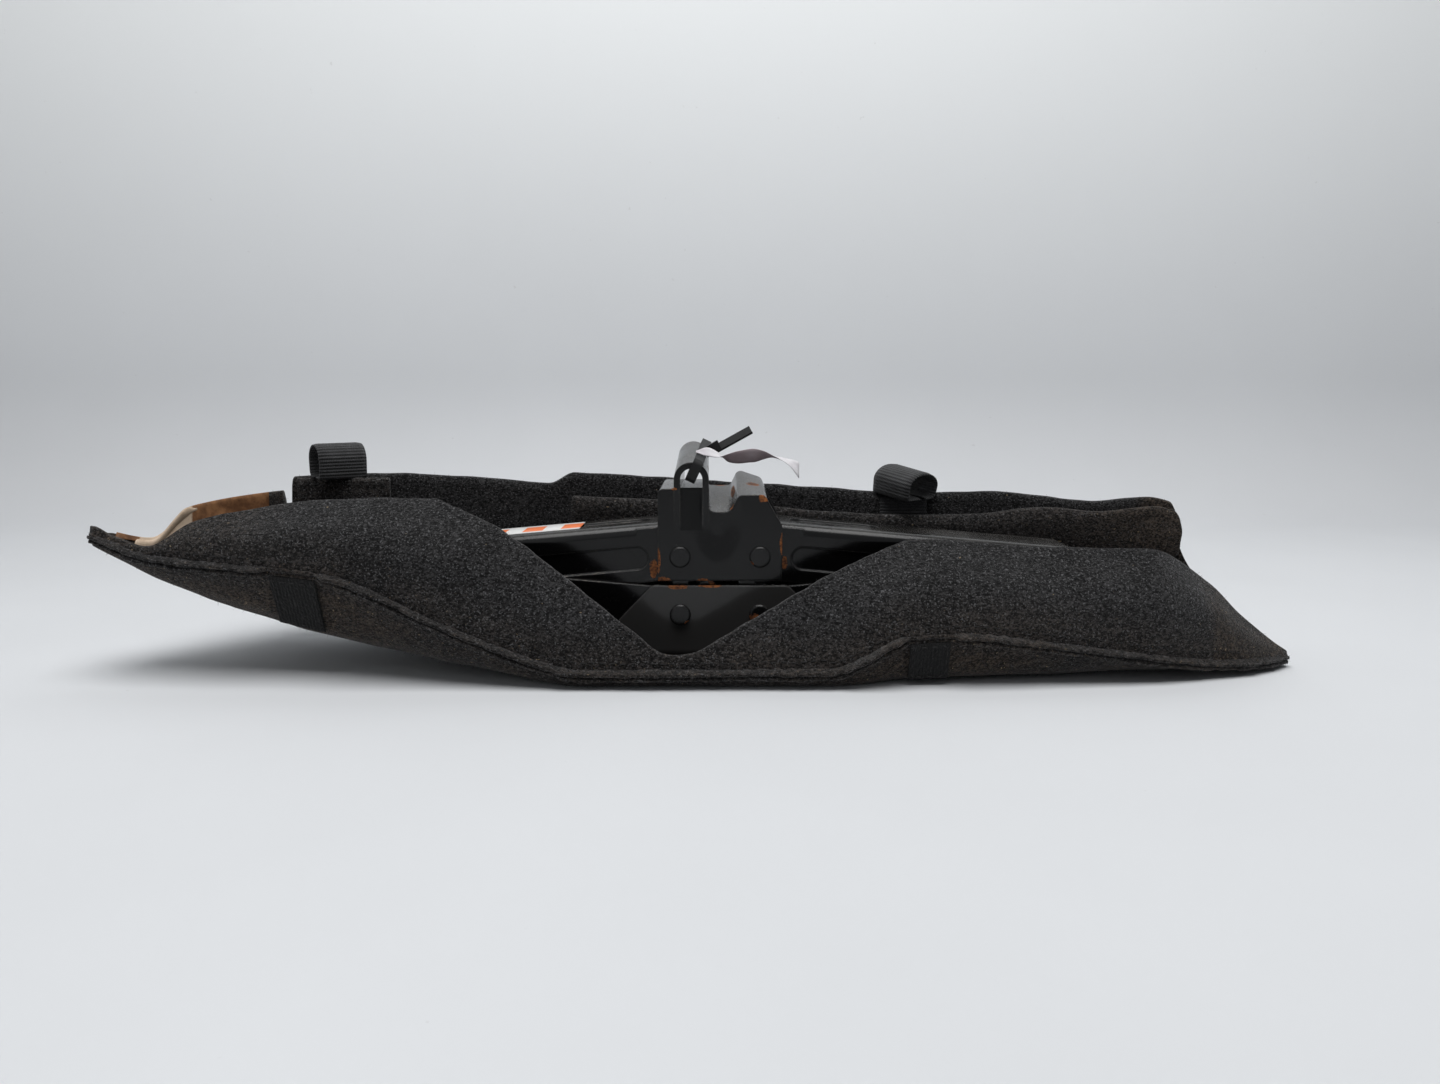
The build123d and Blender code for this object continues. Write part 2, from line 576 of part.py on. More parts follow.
def screw_pieces():
    """The lead screw's pieces about its axis, with X measured from the drive trunnion's middle."""
    bore = SCREW_DIAMETER + 2 * SEAT_GAP
    first_race = THRUST_FLAT
    balls_start = first_race + RACE_THICKNESS
    second_race = balls_start + BALL_DIAMETER
    collar = second_race + RACE_THICKNESS
    eye_start = collar + COLLAR_LENGTH
    free_end = -2 * TRUNNION_X - TRUNNION_DIAMETER / 2 - STOP_GAP - STOP_LENGTH
    retainer = -TRUNNION_DIAMETER / 2 - SIDE_GAP

    ball_circle = (RACE_DIAMETER + SCREW_DIAMETER) / 4
    ball_middle = balls_start + BALL_DIAMETER / 2
    balls = []
    for step in range(BALL_COUNT):
        turn = Rot(360 * step / BALL_COUNT, 0, 0)
        balls.append(turn * Pos(ball_middle, 0, ball_circle) * Sphere(BALL_DIAMETER / 2))

    eye_middle = eye_start + EYE_DIAMETER / 2 - PLATE
    eye = cylinder_x(COLLAR_DIAMETER, collar, eye_start)
    eye += Pos(eye_middle, 0, 0) * Cylinder(EYE_DIAMETER / 2, EYE_THICKNESS)
    eye -= Pos(eye_middle, 0, 0) * Cylinder(EYE_BORE / 2, EYE_THICKNESS)
    stop_end = free_end + STOP_LENGTH
    return {
        "lead_screw": cylinder_x(SCREW_DIAMETER, free_end, collar),
        "crank_eye": eye,
        "thrust_race_inner": ring_x(RACE_DIAMETER, bore, first_race, balls_start),
        "thrust_balls": balls,
        "thrust_race_outer": ring_x(RACE_DIAMETER, bore, second_race, collar),
        "screw_retainer": ring_x(RETAINER_DIAMETER, bore, retainer - RETAINER_THICKNESS, retainer),
        "screw_stop": ring_x(COLLAR_DIAMETER, bore, free_end, stop_end),
    }


def cable_tie():
    """A moulded cable tie round the saddle's loop, with its locking head and tail."""
    inner_half = SADDLE_WIDTH / 2 + LIP_HEIGHT + 4 * SIDE_GAP
    height = TIE_DROP + 2 * TIE_THICKNESS
    band = RectangleRounded(2 * (inner_half + TIE_THICKNESS), height, TIE_CORNER)
    band -= RectangleRounded(2 * inner_half, TIE_DROP, TIE_CORNER - TIE_THICKNESS)
    lean = Rot(0, 0, degrees(asin(LOOP_RISE / SADDLE_WIDTH)))
    middle = LOOP_WIDTH / 2 + 2 * SIDE_GAP - TIE_DROP / 2
    ring = extrude(Plane.YZ * Pos(0, middle) * lean * band, amount=TIE_WIDTH / 2, both=True)
    tie = Rot(0, TIE_TURN, 0) * ring
    top = middle + (height - TIE_THICKNESS) / 2
    across, up = TIE_HEAD_PLACE
    head = Pos(top * sin(radians(TIE_TURN)) + across, 0, top * cos(radians(TIE_TURN)) + up)
    head *= Rot(0, -TIE_TAIL_ANGLE, 0)
    tie += head * Box(*TIE_HEAD)
    tail = Pos(TIE_TAIL_LENGTH / 2, 0, -TIE_TAIL_DROP) * Rot(TIE_TAIL_TWIST, 0, 0)
    tie += head * tail * Box(TIE_TAIL_LENGTH, TIE_WIDTH, TIE_THICKNESS)
    spring = LOOP_HEIGHT + (LOOP_RISE - LOOP_WIDTH) / 2
    return Pos(LOOP_MIDDLE + TIE_SHIFT, 0, SADDLE_PIVOT_Z + spring) * tie


def paper_slip():
    """A blank twisted slip of paper, held under the tie's head."""
    sections = []
    for x, y, z, turn, width in SLIP_STATIONS:
        strip = Pos(y, SADDLE_PIVOT_Z + z) * Rot(0, 0, -turn) * Rectangle(SLIP_THICKNESS, width)
        sections.append(Plane.YZ.offset(x) * strip)
    return loft(sections, ruled=True)


def mitred(points, distance):
    """An open polyline moved to its left by a distance, with its corners mitred."""
    steps = [(b - a).normalized() for a, b in zip(points, points[1:])]
    sides = [Vector(-s.Y, s.X) for s in steps]
    moved = [points[0] + sides[0] * distance]
    for place, before, after in zip(points[1:-1], sides, sides[1:]):
        joint = (before + after).normalized()
        moved.append(place + joint * (distance / joint.dot(after)))
    return moved + [points[-1] + sides[-1] * distance]


def body_points(x):
    """The bag body's outer line at a station, from the front seam under the jack to the back's top."""
    seam_y, seam_z, front_y, floor_z, back_y, top_y, top_z = BAG_STATIONS[x][0]
    return [Vector(seam_y, seam_z), Vector(front_y, floor_z), Vector(back_y, floor_z), Vector(top_y, top_z)]


def folded_sheet(outer, inner, outer_radii, inner_radii):
    """A face between two open lines that run the same way, with their corners rounded."""
    with BuildSketch() as section:
        with BuildLine():
            FilletPolyline(*outer, radius=outer_radii)
            Line(outer[-1], inner[-1])
            FilletPolyline(*inner, radius=inner_radii)
            Line(inner[0], outer[0])
        make_face()
    return section.sketch


def fold_radius(points, corner):
    """The fold's inner radius at a corner, kept within its two straight runs."""
    before = (points[corner] - points[corner - 1]).length
    after = (points[corner + 1] - points[corner]).length
    return min(FOLD_RADIUS, 0.3 * min(before, after))


def body_section(x):
    outer = body_points(x)
    inner = mitred(outer, FELT)
    radii = [fold_radius(inner, 1), fold_radius(inner, 2)]
    outer[1:3] = [corner - Vector(0, SOLE_CUT) for corner in outer[1:3]]
    section = folded_sheet(outer, inner, [r + FELT for r in radii], radii)
    return Plane.YZ.offset(x) * section


def panel_section(x):
    bulge_y, bulge_z, top_y, top_z = BAG_STATIONS[x][1]
    seam = body_points(x)
    outer = [seam[0], Vector(bulge_y, bulge_z), Vector(top_y, top_z)]
    inner = [mitred(seam, FELT)[0]] + mitred(outer, -FELT)[1:]
    radius = min(fold_radius(inner, 1), fold_radius(outer, 1))
    section = folded_sheet(outer, inner, [radius + FELT], [radius])
    return Plane.YZ.offset(x) * section


def lofted(section, places):
    """A sheet through sections at the stations, straight between each pair."""
    return loft([section(x) for x in places], ruled=True)


def bag_body():
    """Floor and back wall in one piece of felt, flat under the jack's foot and drawn up at its ends."""
    ground = Box(4 * ARM_LENGTH, 4 * BAG_BACK, FELT, align=(Align.CENTER, Align.CENTER, Align.MAX))
    return lofted(body_section, sorted(BAG_STATIONS)) - ground


def bag_front_panel():
    """The front panel, sewn along the body's front edge, with the notch that bares the jack."""
    panel = lofted(panel_section, [x for x in sorted(BAG_STATIONS) if BAG_STATIONS[x][1]])
    over = 2 * NOTCH_EDGE[0][1]
    with BuildSketch() as notch:
        with BuildLine():
            FilletPolyline(*NOTCH_EDGE, radius=list(NOTCH_ROUNDS))
            Polyline(NOTCH_EDGE[-1], (NOTCH_EDGE[-1][0], over), (NOTCH_EDGE[0][0], over), NOTCH_EDGE[0])
        make_face()
    return panel - slab_y(notch.sketch, -2 * BAG_BACK, 0)


def back_top(x):
    """Height of the back wall's top between stations."""
    places = sorted(BAG_STATIONS)
    after = min((p for p in places if p >= x), default=places[-1])
    before = max((p for p in places if p <= x), default=places[0])
    low, high = BAG_STATIONS[before][0][-1], BAG_STATIONS[after][0][-1]
    share = (x - before) / (after - before) if after > before else 0
    return low + (high - low) * share


def bag_flap_roll():
    """The bag's lid, rolled down against the inside of the back wall."""
    middle_y = BAG_BACK - FELT - ROLL_GAP - ROLL_DEPTH / 2
    places = [ROLL_START] + [x for x in sorted(BAG_STATIONS) if ROLL_START < x < ROLL_END] + [ROLL_END]
    sections = []
    for x in places:
        middle_z = back_top(x) - ROLL_HEIGHT / 2
        roll = Pos(middle_y, middle_z) * RectangleRounded(ROLL_DEPTH, ROLL_HEIGHT, ROLL_ROUND)
        sections.append(Plane.YZ.offset(x) * roll)
    return loft(sections, ruled=True)


def loop_outline(half_depth, height):
    """A webbing loop's outline seen from its side: flat below and rounded above."""
    spring = min(half_depth, height / 2)
    with BuildSketch() as outline:
        with BuildLine():
            Polyline((-half_depth, height - spring), (-half_depth, 0), (half_depth, 0), (half_depth, height - spring))
            EllipticalCenterArc((0, height - spring), half_depth, spring, start_angle=0, arc_size=180)
        make_face()
    return outline.sketch


def strap(x, half_depth, height, turn):
    """A webbing loop that stands on the back wall, with its end sewn down the inside of it."""
    half = STRAP_WIDTH / 2
    lift = max(back_top(x - half), back_top(x + half)) + SIDE_GAP
    leg_y = BAG_BACK - FELT - SIDE_GAP - WEBBING / 2
    hollow = Pos(0, WEBBING) * loop_outline(half_depth - WEBBING, height - 2 * WEBBING)
    loop = slab_x(loop_outline(half_depth, height) - hollow, -half, half)
    leg = Pos(0, 0, (WEBBING - STRAP_LEG) / 2) * Box(STRAP_WIDTH, WEBBING, STRAP_LEG + WEBBING)
    return Pos(x, leg_y, lift) * (Rot(0, 0, turn) * loop + leg)


def strap_patch():
    """The felt strip sewn over the left loop's end."""
    start, end, height = STRAP_PATCH
    face = BAG_BACK - FELT - 2 * SIDE_GAP - WEBBING
    top = min(back_top(start), back_top(end)) - SIDE_GAP
    return Pos((start + end) / 2, face - FELT / 2, top - height / 2) * Box(end - start, FELT, height)


def patch(start, end, top_share, bottom_share):
    """A hook-tape patch on the bag's front, below the seam. Shares run from the seam to the fold."""
    places = sorted(BAG_STATIONS)
    before = max(p for p in places if p <= start)
    after = min(p for p in places if p >= end)
    sections = []
    for x in (start, end):
        share = (x - before) / (after - before)
        seam, fold = [
            a + (b - a) * share for a, b in list(zip(body_points(before), body_points(after)))[:2]
        ]
        line = [seam + (fold - seam) * top_share, seam + (fold - seam) * bottom_share]
        near = mitred(line, -PATCH_GAP)
        far = mitred(line, -PATCH_GAP - PATCH_THICKNESS)
        corners = [(p.X, p.Y) for p in (*near, *reversed(far))]
        sections.append(Plane.YZ.offset(x) * Polygon(*corners, align=None))
    return loft(sections, ruled=True)


def main():
    at_nut = Pos(-TRUNNION_X, 0, TRUNNION_Z)
    at_drive = Pos(TRUNNION_X, 0, TRUNNION_Z)
    nodes = {
        "base": base(),
        "base_rivets": rivet_pair(BASE_WIDTH, BASE_PIVOT_Z),
        **lower_arms(),
        **upper_arms(),
        "saddle": saddle(),
        "saddle_rivets": rivet_pair(SADDLE_WIDTH, SADDLE_PIVOT_Z),
        "saddle_spacers": saddle_spacers(),
        "nut_trunnion": at_nut * trunnion(SEAT_GAP, False),
        "nut_trunnion_washers": [at_nut * ring for ring in trunnion_washers()],
        "drive_trunnion": at_drive * trunnion(PIN_GAP, True),
        "drive_trunnion_washers": [at_drive * ring for ring in trunnion_washers()],
        "cable_tie": cable_tie(),
        "paper_slip": paper_slip(),
        "bag_body": bag_body(),
        "bag_front_panel": bag_front_panel(),
        "bag_flap_roll": bag_flap_roll(),
        "strap_patch": strap_patch(),
    }
    for name, piece in screw_pieces().items():
        nodes[name] = [at_drive * p for p in piece] if isinstance(piece, list) else at_drive * piece
    for name, sizes in STRAPS.items():
        nodes[f"strap_loop_{name}"] = strap(*sizes)
    for name, sizes in PATCHES.items():
        nodes[f"hook_patch_{name}"] = patch(*sizes)

    os.makedirs("parts", exist_ok=True)
    for name, piece in nodes.items():
        solids = piece if isinstance(piece, list) else [piece]
        export_step(Compound(children=[s for p in solids for s in p.solids()]), f"parts/{name}.step")


if __name__ == "__main__":
    main()
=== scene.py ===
"""Scissor jack in its open felt bag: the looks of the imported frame, laid out as an add-on."""

from functools import wraps
from math import cos, pi, radians, sin

import bmesh
import bpy
from bpy.props import FloatProperty, FloatVectorProperty, IntProperty, PointerProperty
from mathutils import Euler, Matrix, Vector, noise


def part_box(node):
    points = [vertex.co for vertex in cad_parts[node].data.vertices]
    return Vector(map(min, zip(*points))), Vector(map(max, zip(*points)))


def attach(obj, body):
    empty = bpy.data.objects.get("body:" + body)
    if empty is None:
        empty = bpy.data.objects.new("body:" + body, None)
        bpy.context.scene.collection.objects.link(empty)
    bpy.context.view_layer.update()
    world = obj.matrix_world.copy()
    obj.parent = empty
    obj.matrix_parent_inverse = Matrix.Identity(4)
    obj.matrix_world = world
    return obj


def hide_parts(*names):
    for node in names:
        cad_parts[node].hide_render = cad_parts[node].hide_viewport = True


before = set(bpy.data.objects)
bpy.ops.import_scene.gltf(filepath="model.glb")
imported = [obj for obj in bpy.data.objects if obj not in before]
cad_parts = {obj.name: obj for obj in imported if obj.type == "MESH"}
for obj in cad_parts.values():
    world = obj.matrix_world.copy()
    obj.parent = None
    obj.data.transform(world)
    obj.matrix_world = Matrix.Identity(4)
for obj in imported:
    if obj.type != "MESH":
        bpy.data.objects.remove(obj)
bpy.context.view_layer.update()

bl_info = {
    "name": "Scissor jack in a felt bag",
    "version": (1, 0, 0),
    "blender": (4, 5, 0),
    "location": "View3D > Sidebar > Jack",
    "description": "Dresses the packed scissor jack and its felt bag",
    "category": "Object",
}

MM = 0.001

# Felt bag, in millimetres. Body: seam y and z, front corner y, floor z, back corner y, back top y and z.
BAG_BODY = {
    -289.0: (-42.0, 65.0, -39.0, 60.5, -31.0, -28.0, 65.0),
    -275.0: (-44.6, 61.1, -39.5, 52.5, -16.0, -11.4, 58.5),
    -262.0: (-47.0, 57.4, -40.0, 45.0, -2.0, 4.0, 73.5),
    -242.0: (-49.0, 54.6, -39.0, 36.0, 30.0, 34.0, 77.0),
    -233.4: (-50.2, 53.9, -39.0, 32.3, 44.5, 46.5, 77.5),
    -232.2: (-50.4, 53.8, -39.0, 31.8, 46.0, 47.5, 61.0),
    -230.6: (-50.6, 53.7, -39.0, 31.2, 48.0, 48.5, 61.0),
    -229.2: (-50.8, 53.6, -39.0, 30.6, 50.0, 50.0, 84.0),
    -228.0: (-51.0, 53.5, -39.0, 30.0, 50.0, 50.0, 84.8),
    -180.0: (-55.0, 49.5, -41.0, 16.0, 50.0, 50.0, 86.5),
    -125.0: (-59.0, 27.5, -49.0, 6.5, 50.0, 50.0, 84.3),
    -92.0: (-61.0, 14.5, -55.0, 2.5, 50.0, 50.0, 81.5),
    -78.0: (-62.0, 10.0, -58.0, 1.0, 50.0, 50.0, 87.0),
    -64.0: (-63.0, 6.9, -60.0, 0.0, 50.0, 50.0, 86.3),
    50.0: (-63.0, 7.5, -60.0, 0.0, 50.0, 50.0, 79.2),
    64.0: (-63.0, 12.7, -58.5, 0.0, 50.0, 50.0, 78.4),
    84.0: (-62.0, 22.0, -55.0, 0.7, 50.0, 50.0, 76.4),
    108.0: (-61.0, 23.0, -54.0, 1.2, 50.0, 50.0, 75.9),
    150.0: (-57.0, 18.2, -50.0, 2.0, 50.0, 50.0, 76.6),
    200.0: (-52.0, 11.0, -43.0, 2.5, 50.0, 50.0, 71.7),
    230.0: (-44.0, 7.0, -36.0, 2.0, 50.0, 50.0, 73.6),
    242.5: (-40.2, 6.1, -33.0, 1.6, 50.0, 50.0, 71.0),
    245.5: (-39.2, 5.9, -32.2, 1.5, 50.0, 50.0, 66.5),
    247.5: (-38.3, 5.7, -31.4, 1.4, 48.0, 49.0, 50.0),
    258.0: (-33.0, 5.0, -27.0, 1.0, 30.0, 34.0, 26.0),
    274.0: (-24.0, 3.6, -18.5, 0.4, -8.0, -3.0, 4.0),
}
# Front panel: bulge y and z, top edge y and z
BAG_PANEL = {
    -289.0: (-41.6, 67.0, -41.0, 69.0),
    -275.0: (-44.2, 63.1, -43.5, 65.1),
    -262.0: (-46.6, 59.4, -45.8, 61.4),
    -242.0: (-48.0, 65.0, -40.0, 72.3),
    -233.0: (-49.3, 65.6, -38.1, 74.7),
    -228.0: (-50.0, 66.0, -37.0, 76.0),
    -180.0: (-54.0, 68.0, -34.0, 81.5),
    -125.0: (-57.0, 62.0, -34.0, 83.0),
    -92.0: (-58.0, 50.0, -35.0, 82.0),
    -64.0: (-59.0, 40.0, -37.0, 78.0),
    50.0: (-58.5, 37.0, -35.5, 70.0),
    84.0: (-58.0, 42.0, -34.0, 64.5),
    108.0: (-57.5, 45.0, -34.0, 63.5),
    150.0: (-55.5, 43.0, -34.0, 60.3),
    200.0: (-51.5, 41.0, -34.0, 58.8),
    230.0: (-43.5, 30.0, -32.0, 42.1),
    246.0: (-38.5, 19.0, -31.0, 28.0),
    258.0: (-32.5, 12.0, -28.0, 18.5),
    274.0: (-23.6, 5.6, -22.8, 7.6),
}
# Height of the notch's edge along x
NOTCH = {
    -150.0: (89.2,),
    -107.0: (73.6,),
    -72.0: (50.5,),
    -36.0: (22.4,),
    -26.0: (15.2,),
    -19.0: (14.2,),
    -12.5: (15.2,),
    0.0: (21.8,),
    18.0: (32.3,),
    54.5: (51.6,),
    110.0: (72.0,),
}
BAG_LEFT, BAG_RIGHT = min(BAG_BODY), max(BAG_BODY)
ROLL_LEFT, ROLL_RIGHT = -79.0, 244.0
FELT = 3.0
BAG_BACK = 50.0
WEBBING = 1.6
LOOP_WIDTH = 25.0
LOOP_LEG = 15.0
# Webbing loops: place along x, half depth, height, turn about the upright and lean
LOOPS = {"left": (-204.0, 9.0, 19.0, 38.0, 0.0), "right": (98.5, 12.0, 15.5, -50.0, 9.0)}
# Hook tape: ends along x, then top and foot as shares of the way from the seam to the fold
HOOK_PATCHES = {"left": (-203.0, -182.0, 0.06, 0.82), "right": (85.0, 103.0, 0.08, 0.86)}
# Pivots' reach from the middle, saddle's pivot height and front face, and the arms' slope in degrees
PIVOT_REACH = 19.0
SADDLE_PIVOT = 53.8875
SADDLE_FACE = 25.1
ARM_TILT = 4.9996
# Label: start and length along the arm, half width, and the heights of its back and face
LABEL = (48.0, 49.0, 12.5, 16.05, 16.2)
# Paper slip from the saddle's middle: x, y, z, turn and width
SLIP = {
    -11.5: (-16.0, 48.9, 70.0, 1.5),
    -6.9: (-13.0, 48.8, 50.0, 5.5),
    -1.0: (-10.0, 47.0, 75.0, 7.0),
    4.0: (-8.5, 45.5, 125.0, 7.5),
    9.8: (-8.0, 46.0, 150.0, 7.5),
    15.7: (-7.5, 46.7, 155.0, 7.5),
    20.6: (-7.0, 46.7, 130.0, 7.5),
    26.5: (-6.5, 45.8, 95.0, 7.0),
    33.5: (-6.0, 43.1, 65.0, 6.5),
    38.5: (-6.0, 39.6, 12.0, 8.0),
}
# Stage, in metres: the sweep's front, where it bends up, the bend's radius, its top and half width
SWEEP_FRONT, SWEEP_BEND, SWEEP_RADIUS, SWEEP_TOP, SWEEP_HALF = -1.6, 0.47, 0.14, 2.2, 4.0
CAMERA_PLACE = (0.0, -0.535, 0.137)
CAMERA_DIP = 8.47
CAMERA_LENS = 27.2


class Wire:
    """A socket in a node tree. Arithmetic on it adds Math nodes."""

    def __init__(self, tree, socket=None):
        self.tree = tree
        self.socket = socket

    def node(self, kind, inputs=None, output=0, **settings):
        """Adds a node, makes its settings, then sets or links its sockets, and gives one output."""
        made = self.tree.nodes.new(kind)
        for key, value in settings.items():
            setattr(made, key, value)
        for key, value in (inputs or {}).items():
            if isinstance(value, Wire):
                self.tree.links.new(value.socket, made.inputs[key])
            else:
                made.inputs[key].default_value = value
        return Wire(self.tree, made.outputs[output])

    def maths(self, operation, *values):
        return self.node("ShaderNodeMath", dict(enumerate(values)), operation=operation)

    def __add__(self, other):
        return self.maths("ADD", self, other)

    def __sub__(self, other):
        return self.maths("SUBTRACT", self, other)

    def __rsub__(self, other):
        return self.maths("SUBTRACT", other, self)

    def __mul__(self, other):
        return self.maths("MULTIPLY", self, other)

    __radd__ = __add__
    __rmul__ = __mul__

    def most(self, other):
        return self.maths("MAXIMUM", self, other)

    def wave(self, length):
        """A sine wave of a given length."""
        return self.maths("SINE", self * (2 * pi / length))

    def step(self, low, high):
        """A soft step from 0 at low to 1 at high."""
        ends = {0: self, 1: low, 2: high, 3: 0.0, 4: 1.0}
        return self.node("ShaderNodeMapRange", ends, interpolation_type="SMOOTHSTEP")

    def blend(self, first, second):
        """A colour from first to second, with this value as the share of second."""
        first, second = (c if isinstance(c, Wire) else (*c, 1.0) for c in (first, second))
        return self.node("ShaderNodeMix", {0: self, 6: first, 7: second}, 2, data_type="RGBA")

    def place(self):
        return self.node("ShaderNodeTexCoord", output="Object")

    def attribute(self, name):
        return self.node("ShaderNodeAttribute", output="Fac", attribute_name=name)

    def axis(self, letter):
        return self.node("ShaderNodeSeparateXYZ", {0: self}, "XYZ".index(letter))

    def vectors(self, operation, other, output=0):
        return self.node("ShaderNodeVectorMath", {0: self, 1: other}, output, operation=operation)

    def stretched(self, factors):
        return self.vectors("MULTIPLY", factors)

    def grain(self, scale, detail=2.0, rough=0.5):
        sockets = {"Vector": self, "Scale": scale, "Detail": detail, "Roughness": rough}
        return self.node("ShaderNodeTexNoise", sockets)

    def cells(self, scale):
        return self.node("ShaderNodeTexVoronoi", {"Vector": self, "Scale": scale})

    def near(self, point, reach):
        """1 round a point, falling to 0 at a reach along each axis, all in millimetres."""
        away = self.vectors("SUBTRACT", Vector(point) * MM)
        shares = away.stretched([1 / (r * MM) for r in reach])
        far = self.node("ShaderNodeVectorMath", {0: shares}, "Value", operation="LENGTH")
        return far.step(1.0, 0.25)

    def bump(self, strength, depth, normal=None):
        sockets = {"Strength": strength, "Distance": depth, "Height": self}
        if normal:
            sockets["Normal"] = normal
        return self.node("ShaderNodeBump", sockets)


def as_material(build):
    """Turns a function that builds a shader in a node tree into one that makes a named material."""

    @wraps(build)
    def make(name, *values):
        material = bpy.data.materials.new(name)
        material.use_nodes = True
        tree = material.node_tree
        tree.nodes.clear()
        shader = build(Wire(tree), *values)
        output = tree.nodes.new("ShaderNodeOutputMaterial")
        tree.links.new(shader.socket, output.inputs["Surface"])
        return material

    return make


def surface(wire, **sockets):
    """A Principled shader, with its sockets named in lower case."""
    inputs = {key.replace("_", " ").title().replace("Ior", "IOR"): value for key, value in sockets.items()}
    return wire.node("ShaderNodeBsdfPrincipled", inputs)


def scaled(colour, factor):
    """A colour made darker or lighter by a factor."""
    return tuple(c * factor for c in colour)


@as_material
def black_paint(wire, colour, rust_places, gloss, dusting, dish):
    """Black paint on pressed steel: soft bends, dust on top, worn edges, a painted highlight along every
    edge, and rust at given places.
    """
    place = wire.place()
    fine = place.grain(700.0, 4.0, 0.6)
    broad = place.grain(28.0, 3.0)
    rounded = wire.node("ShaderNodeBevel", {"Radius": 0.0014}, samples=6)
    plain = wire.node("ShaderNodeNewGeometry", output="Normal")
    turn = rounded.vectors("DOT_PRODUCT", plain, "Value")
    edge = (1.0 - turn).step(0.03, 0.25)
    worn = edge * (fine * 0.7 + broad * 0.6).step(0.66, 0.84)
    upward = wire.node("ShaderNodeTexCoord", output="Normal").axis("Z").step(0.3, 0.95)
    dust = upward * (broad * 0.6 + fine * 0.5).step(0.42, 0.66) * dusting
    tone = dust.blend(colour, (0.13, 0.122, 0.112))
    tone = (fine.step(0.62, 0.74) * 0.3).blend(tone, (0.03, 0.028, 0.026))
    # Painted highlight: a pale rim on every edge for light caught by the rounded edges, with a little edge
    # rub
    tone = (edge * 0.4).blend(tone, (0.085, 0.084, 0.083))
    tone = worn.blend(tone, (0.13, 0.115, 0.1))
    rough = broad * 0.14 + fine * 0.08 + dust * 0.3 + (gloss - 0.11)
    metal = worn * 0.5
    if rust_places:
        flake = place.grain(900.0, 6.0, 0.7)
        clumps = place.grain(240.0, 3.0, 0.6)
        spots = place.near(*rust_places[0])
        for spot in rust_places[1:]:
            spots = spots.most(place.near(*spot))
        rust = (spots * 0.66 + flake * 0.5 + clumps * 0.5 + edge * 0.14).step(0.93, 1.06)
        warm = (flake * 0.6 + clumps * 0.4).step(0.4, 0.62)
        warm = warm.blend((0.045, 0.016, 0.008), (0.33, 0.11, 0.028))
        tone = rust.blend(tone, warm)
        rough = rough + rust * 0.5
        metal = metal * (1.0 - rust)
    pressed = rounded
    if dish:
        pressed = (1.0 - place.near(*dish)).bump(1.0, 0.0015, rounded)
    return surface(
        wire,
        base_color=tone,
        roughness=rough,
        metallic=metal,
        normal=(place.grain(900.0, 2.0) * 0.2 + broad).bump(0.12, 0.0004, pressed),
        coat_weight=0.1,
        coat_roughness=0.08,
        ior=1.31,
    )


@as_material
def oiled_steel(wire, colour, rough):
    """Turned steel with an oily film and fine tool marks."""
    place = wire.place()
    marks = place.stretched((2600.0, 60.0, 60.0)).grain(1.0, 3.0)
    film = place.grain(70.0, 4.0, 0.6)
    tone = film.step(0.35, 0.7).blend(colour, scaled(colour, 0.35))
    return surface(
        wire,
        base_color=tone,
        metallic=0.92,
        roughness=film * 0.25 + rough,
        normal=marks.bump(0.12, 0.0002),
    )


@as_material
def needle_felt(wire, dark, light, soil):
    """Charcoal needle felt: matted fibres, pale flecks and lint, and soil from its own attribute."""
    place = wire.place()
    mat = place.stretched((1.0, 1.4, 1.4)).grain(380.0, 5.0, 0.75)
    fleck = place.stretched((1.0, 1.5, 1.5)).grain(760.0, 3.0, 0.7)
    spark = place.stretched((1.7, 1.0, 1.9)).grain(700.0, 1.0)
    broad = place.grain(22.0, 4.0, 0.6)
    tone = (fleck * 0.8 + mat * 0.45 + broad * 0.15).step(0.61, 0.84).blend(dark, light)
    tone = (spark.step(0.6, 0.7) * 0.75).blend(tone, (0.15, 0.15, 0.155))
    dirt = wire.attribute("soil")
    mud = (fleck * 0.7 + mat * 0.5).step(0.5, 0.76).blend(scaled(soil, 0.15), scaled(soil, 1.7))
    tone = (dirt * (mat * 0.5 + broad).step(0.45, 0.95) * 0.9).blend(tone, mud)
    grit = place.grain(700.0, 1.0).step(0.72, 0.76) * dirt
    lint = place.stretched((1.0, 1.0, 1.7)).grain(330.0, 1.0).step(0.8, 0.82)
    tone = grit.most(lint).blend(tone, (0.26, 0.2, 0.13))
    return surface(
        wire,
        base_color=tone,
        roughness=0.97,
        normal=(mat + fleck * 0.5).bump(0.9, 0.0009),
        sheen_weight=0.16,
        sheen_roughness=0.45,
        specular_ior_level=0.12,
    )


@as_material
def woven_webbing(wire, colour):
    """Ribbed polypropylene webbing, woven along its own UV map in millimetres."""
    along = wire.node("ShaderNodeUVMap", uv_map="weave")
    run = along.axis("X")
    across = along.axis("Y")
    rib = run.wave(1.7)
    slant = (across * 1.9 + run * 0.8).wave(1.7)
    thread = rib * 0.6 + slant * 0.4
    broad = wire.place().grain(160.0, 3.0)
    tone = (thread * 0.25 + broad * 0.6).step(0.05, 0.75)
    tone = tone.blend(colour, (0.05, 0.05, 0.053))
    return surface(
        wire,
        base_color=tone,
        roughness=0.62 + thread * 0.06,
        normal=thread.bump(0.7, 0.0005),
        sheen_weight=0.1,
        specular_ior_level=0.35,
    )


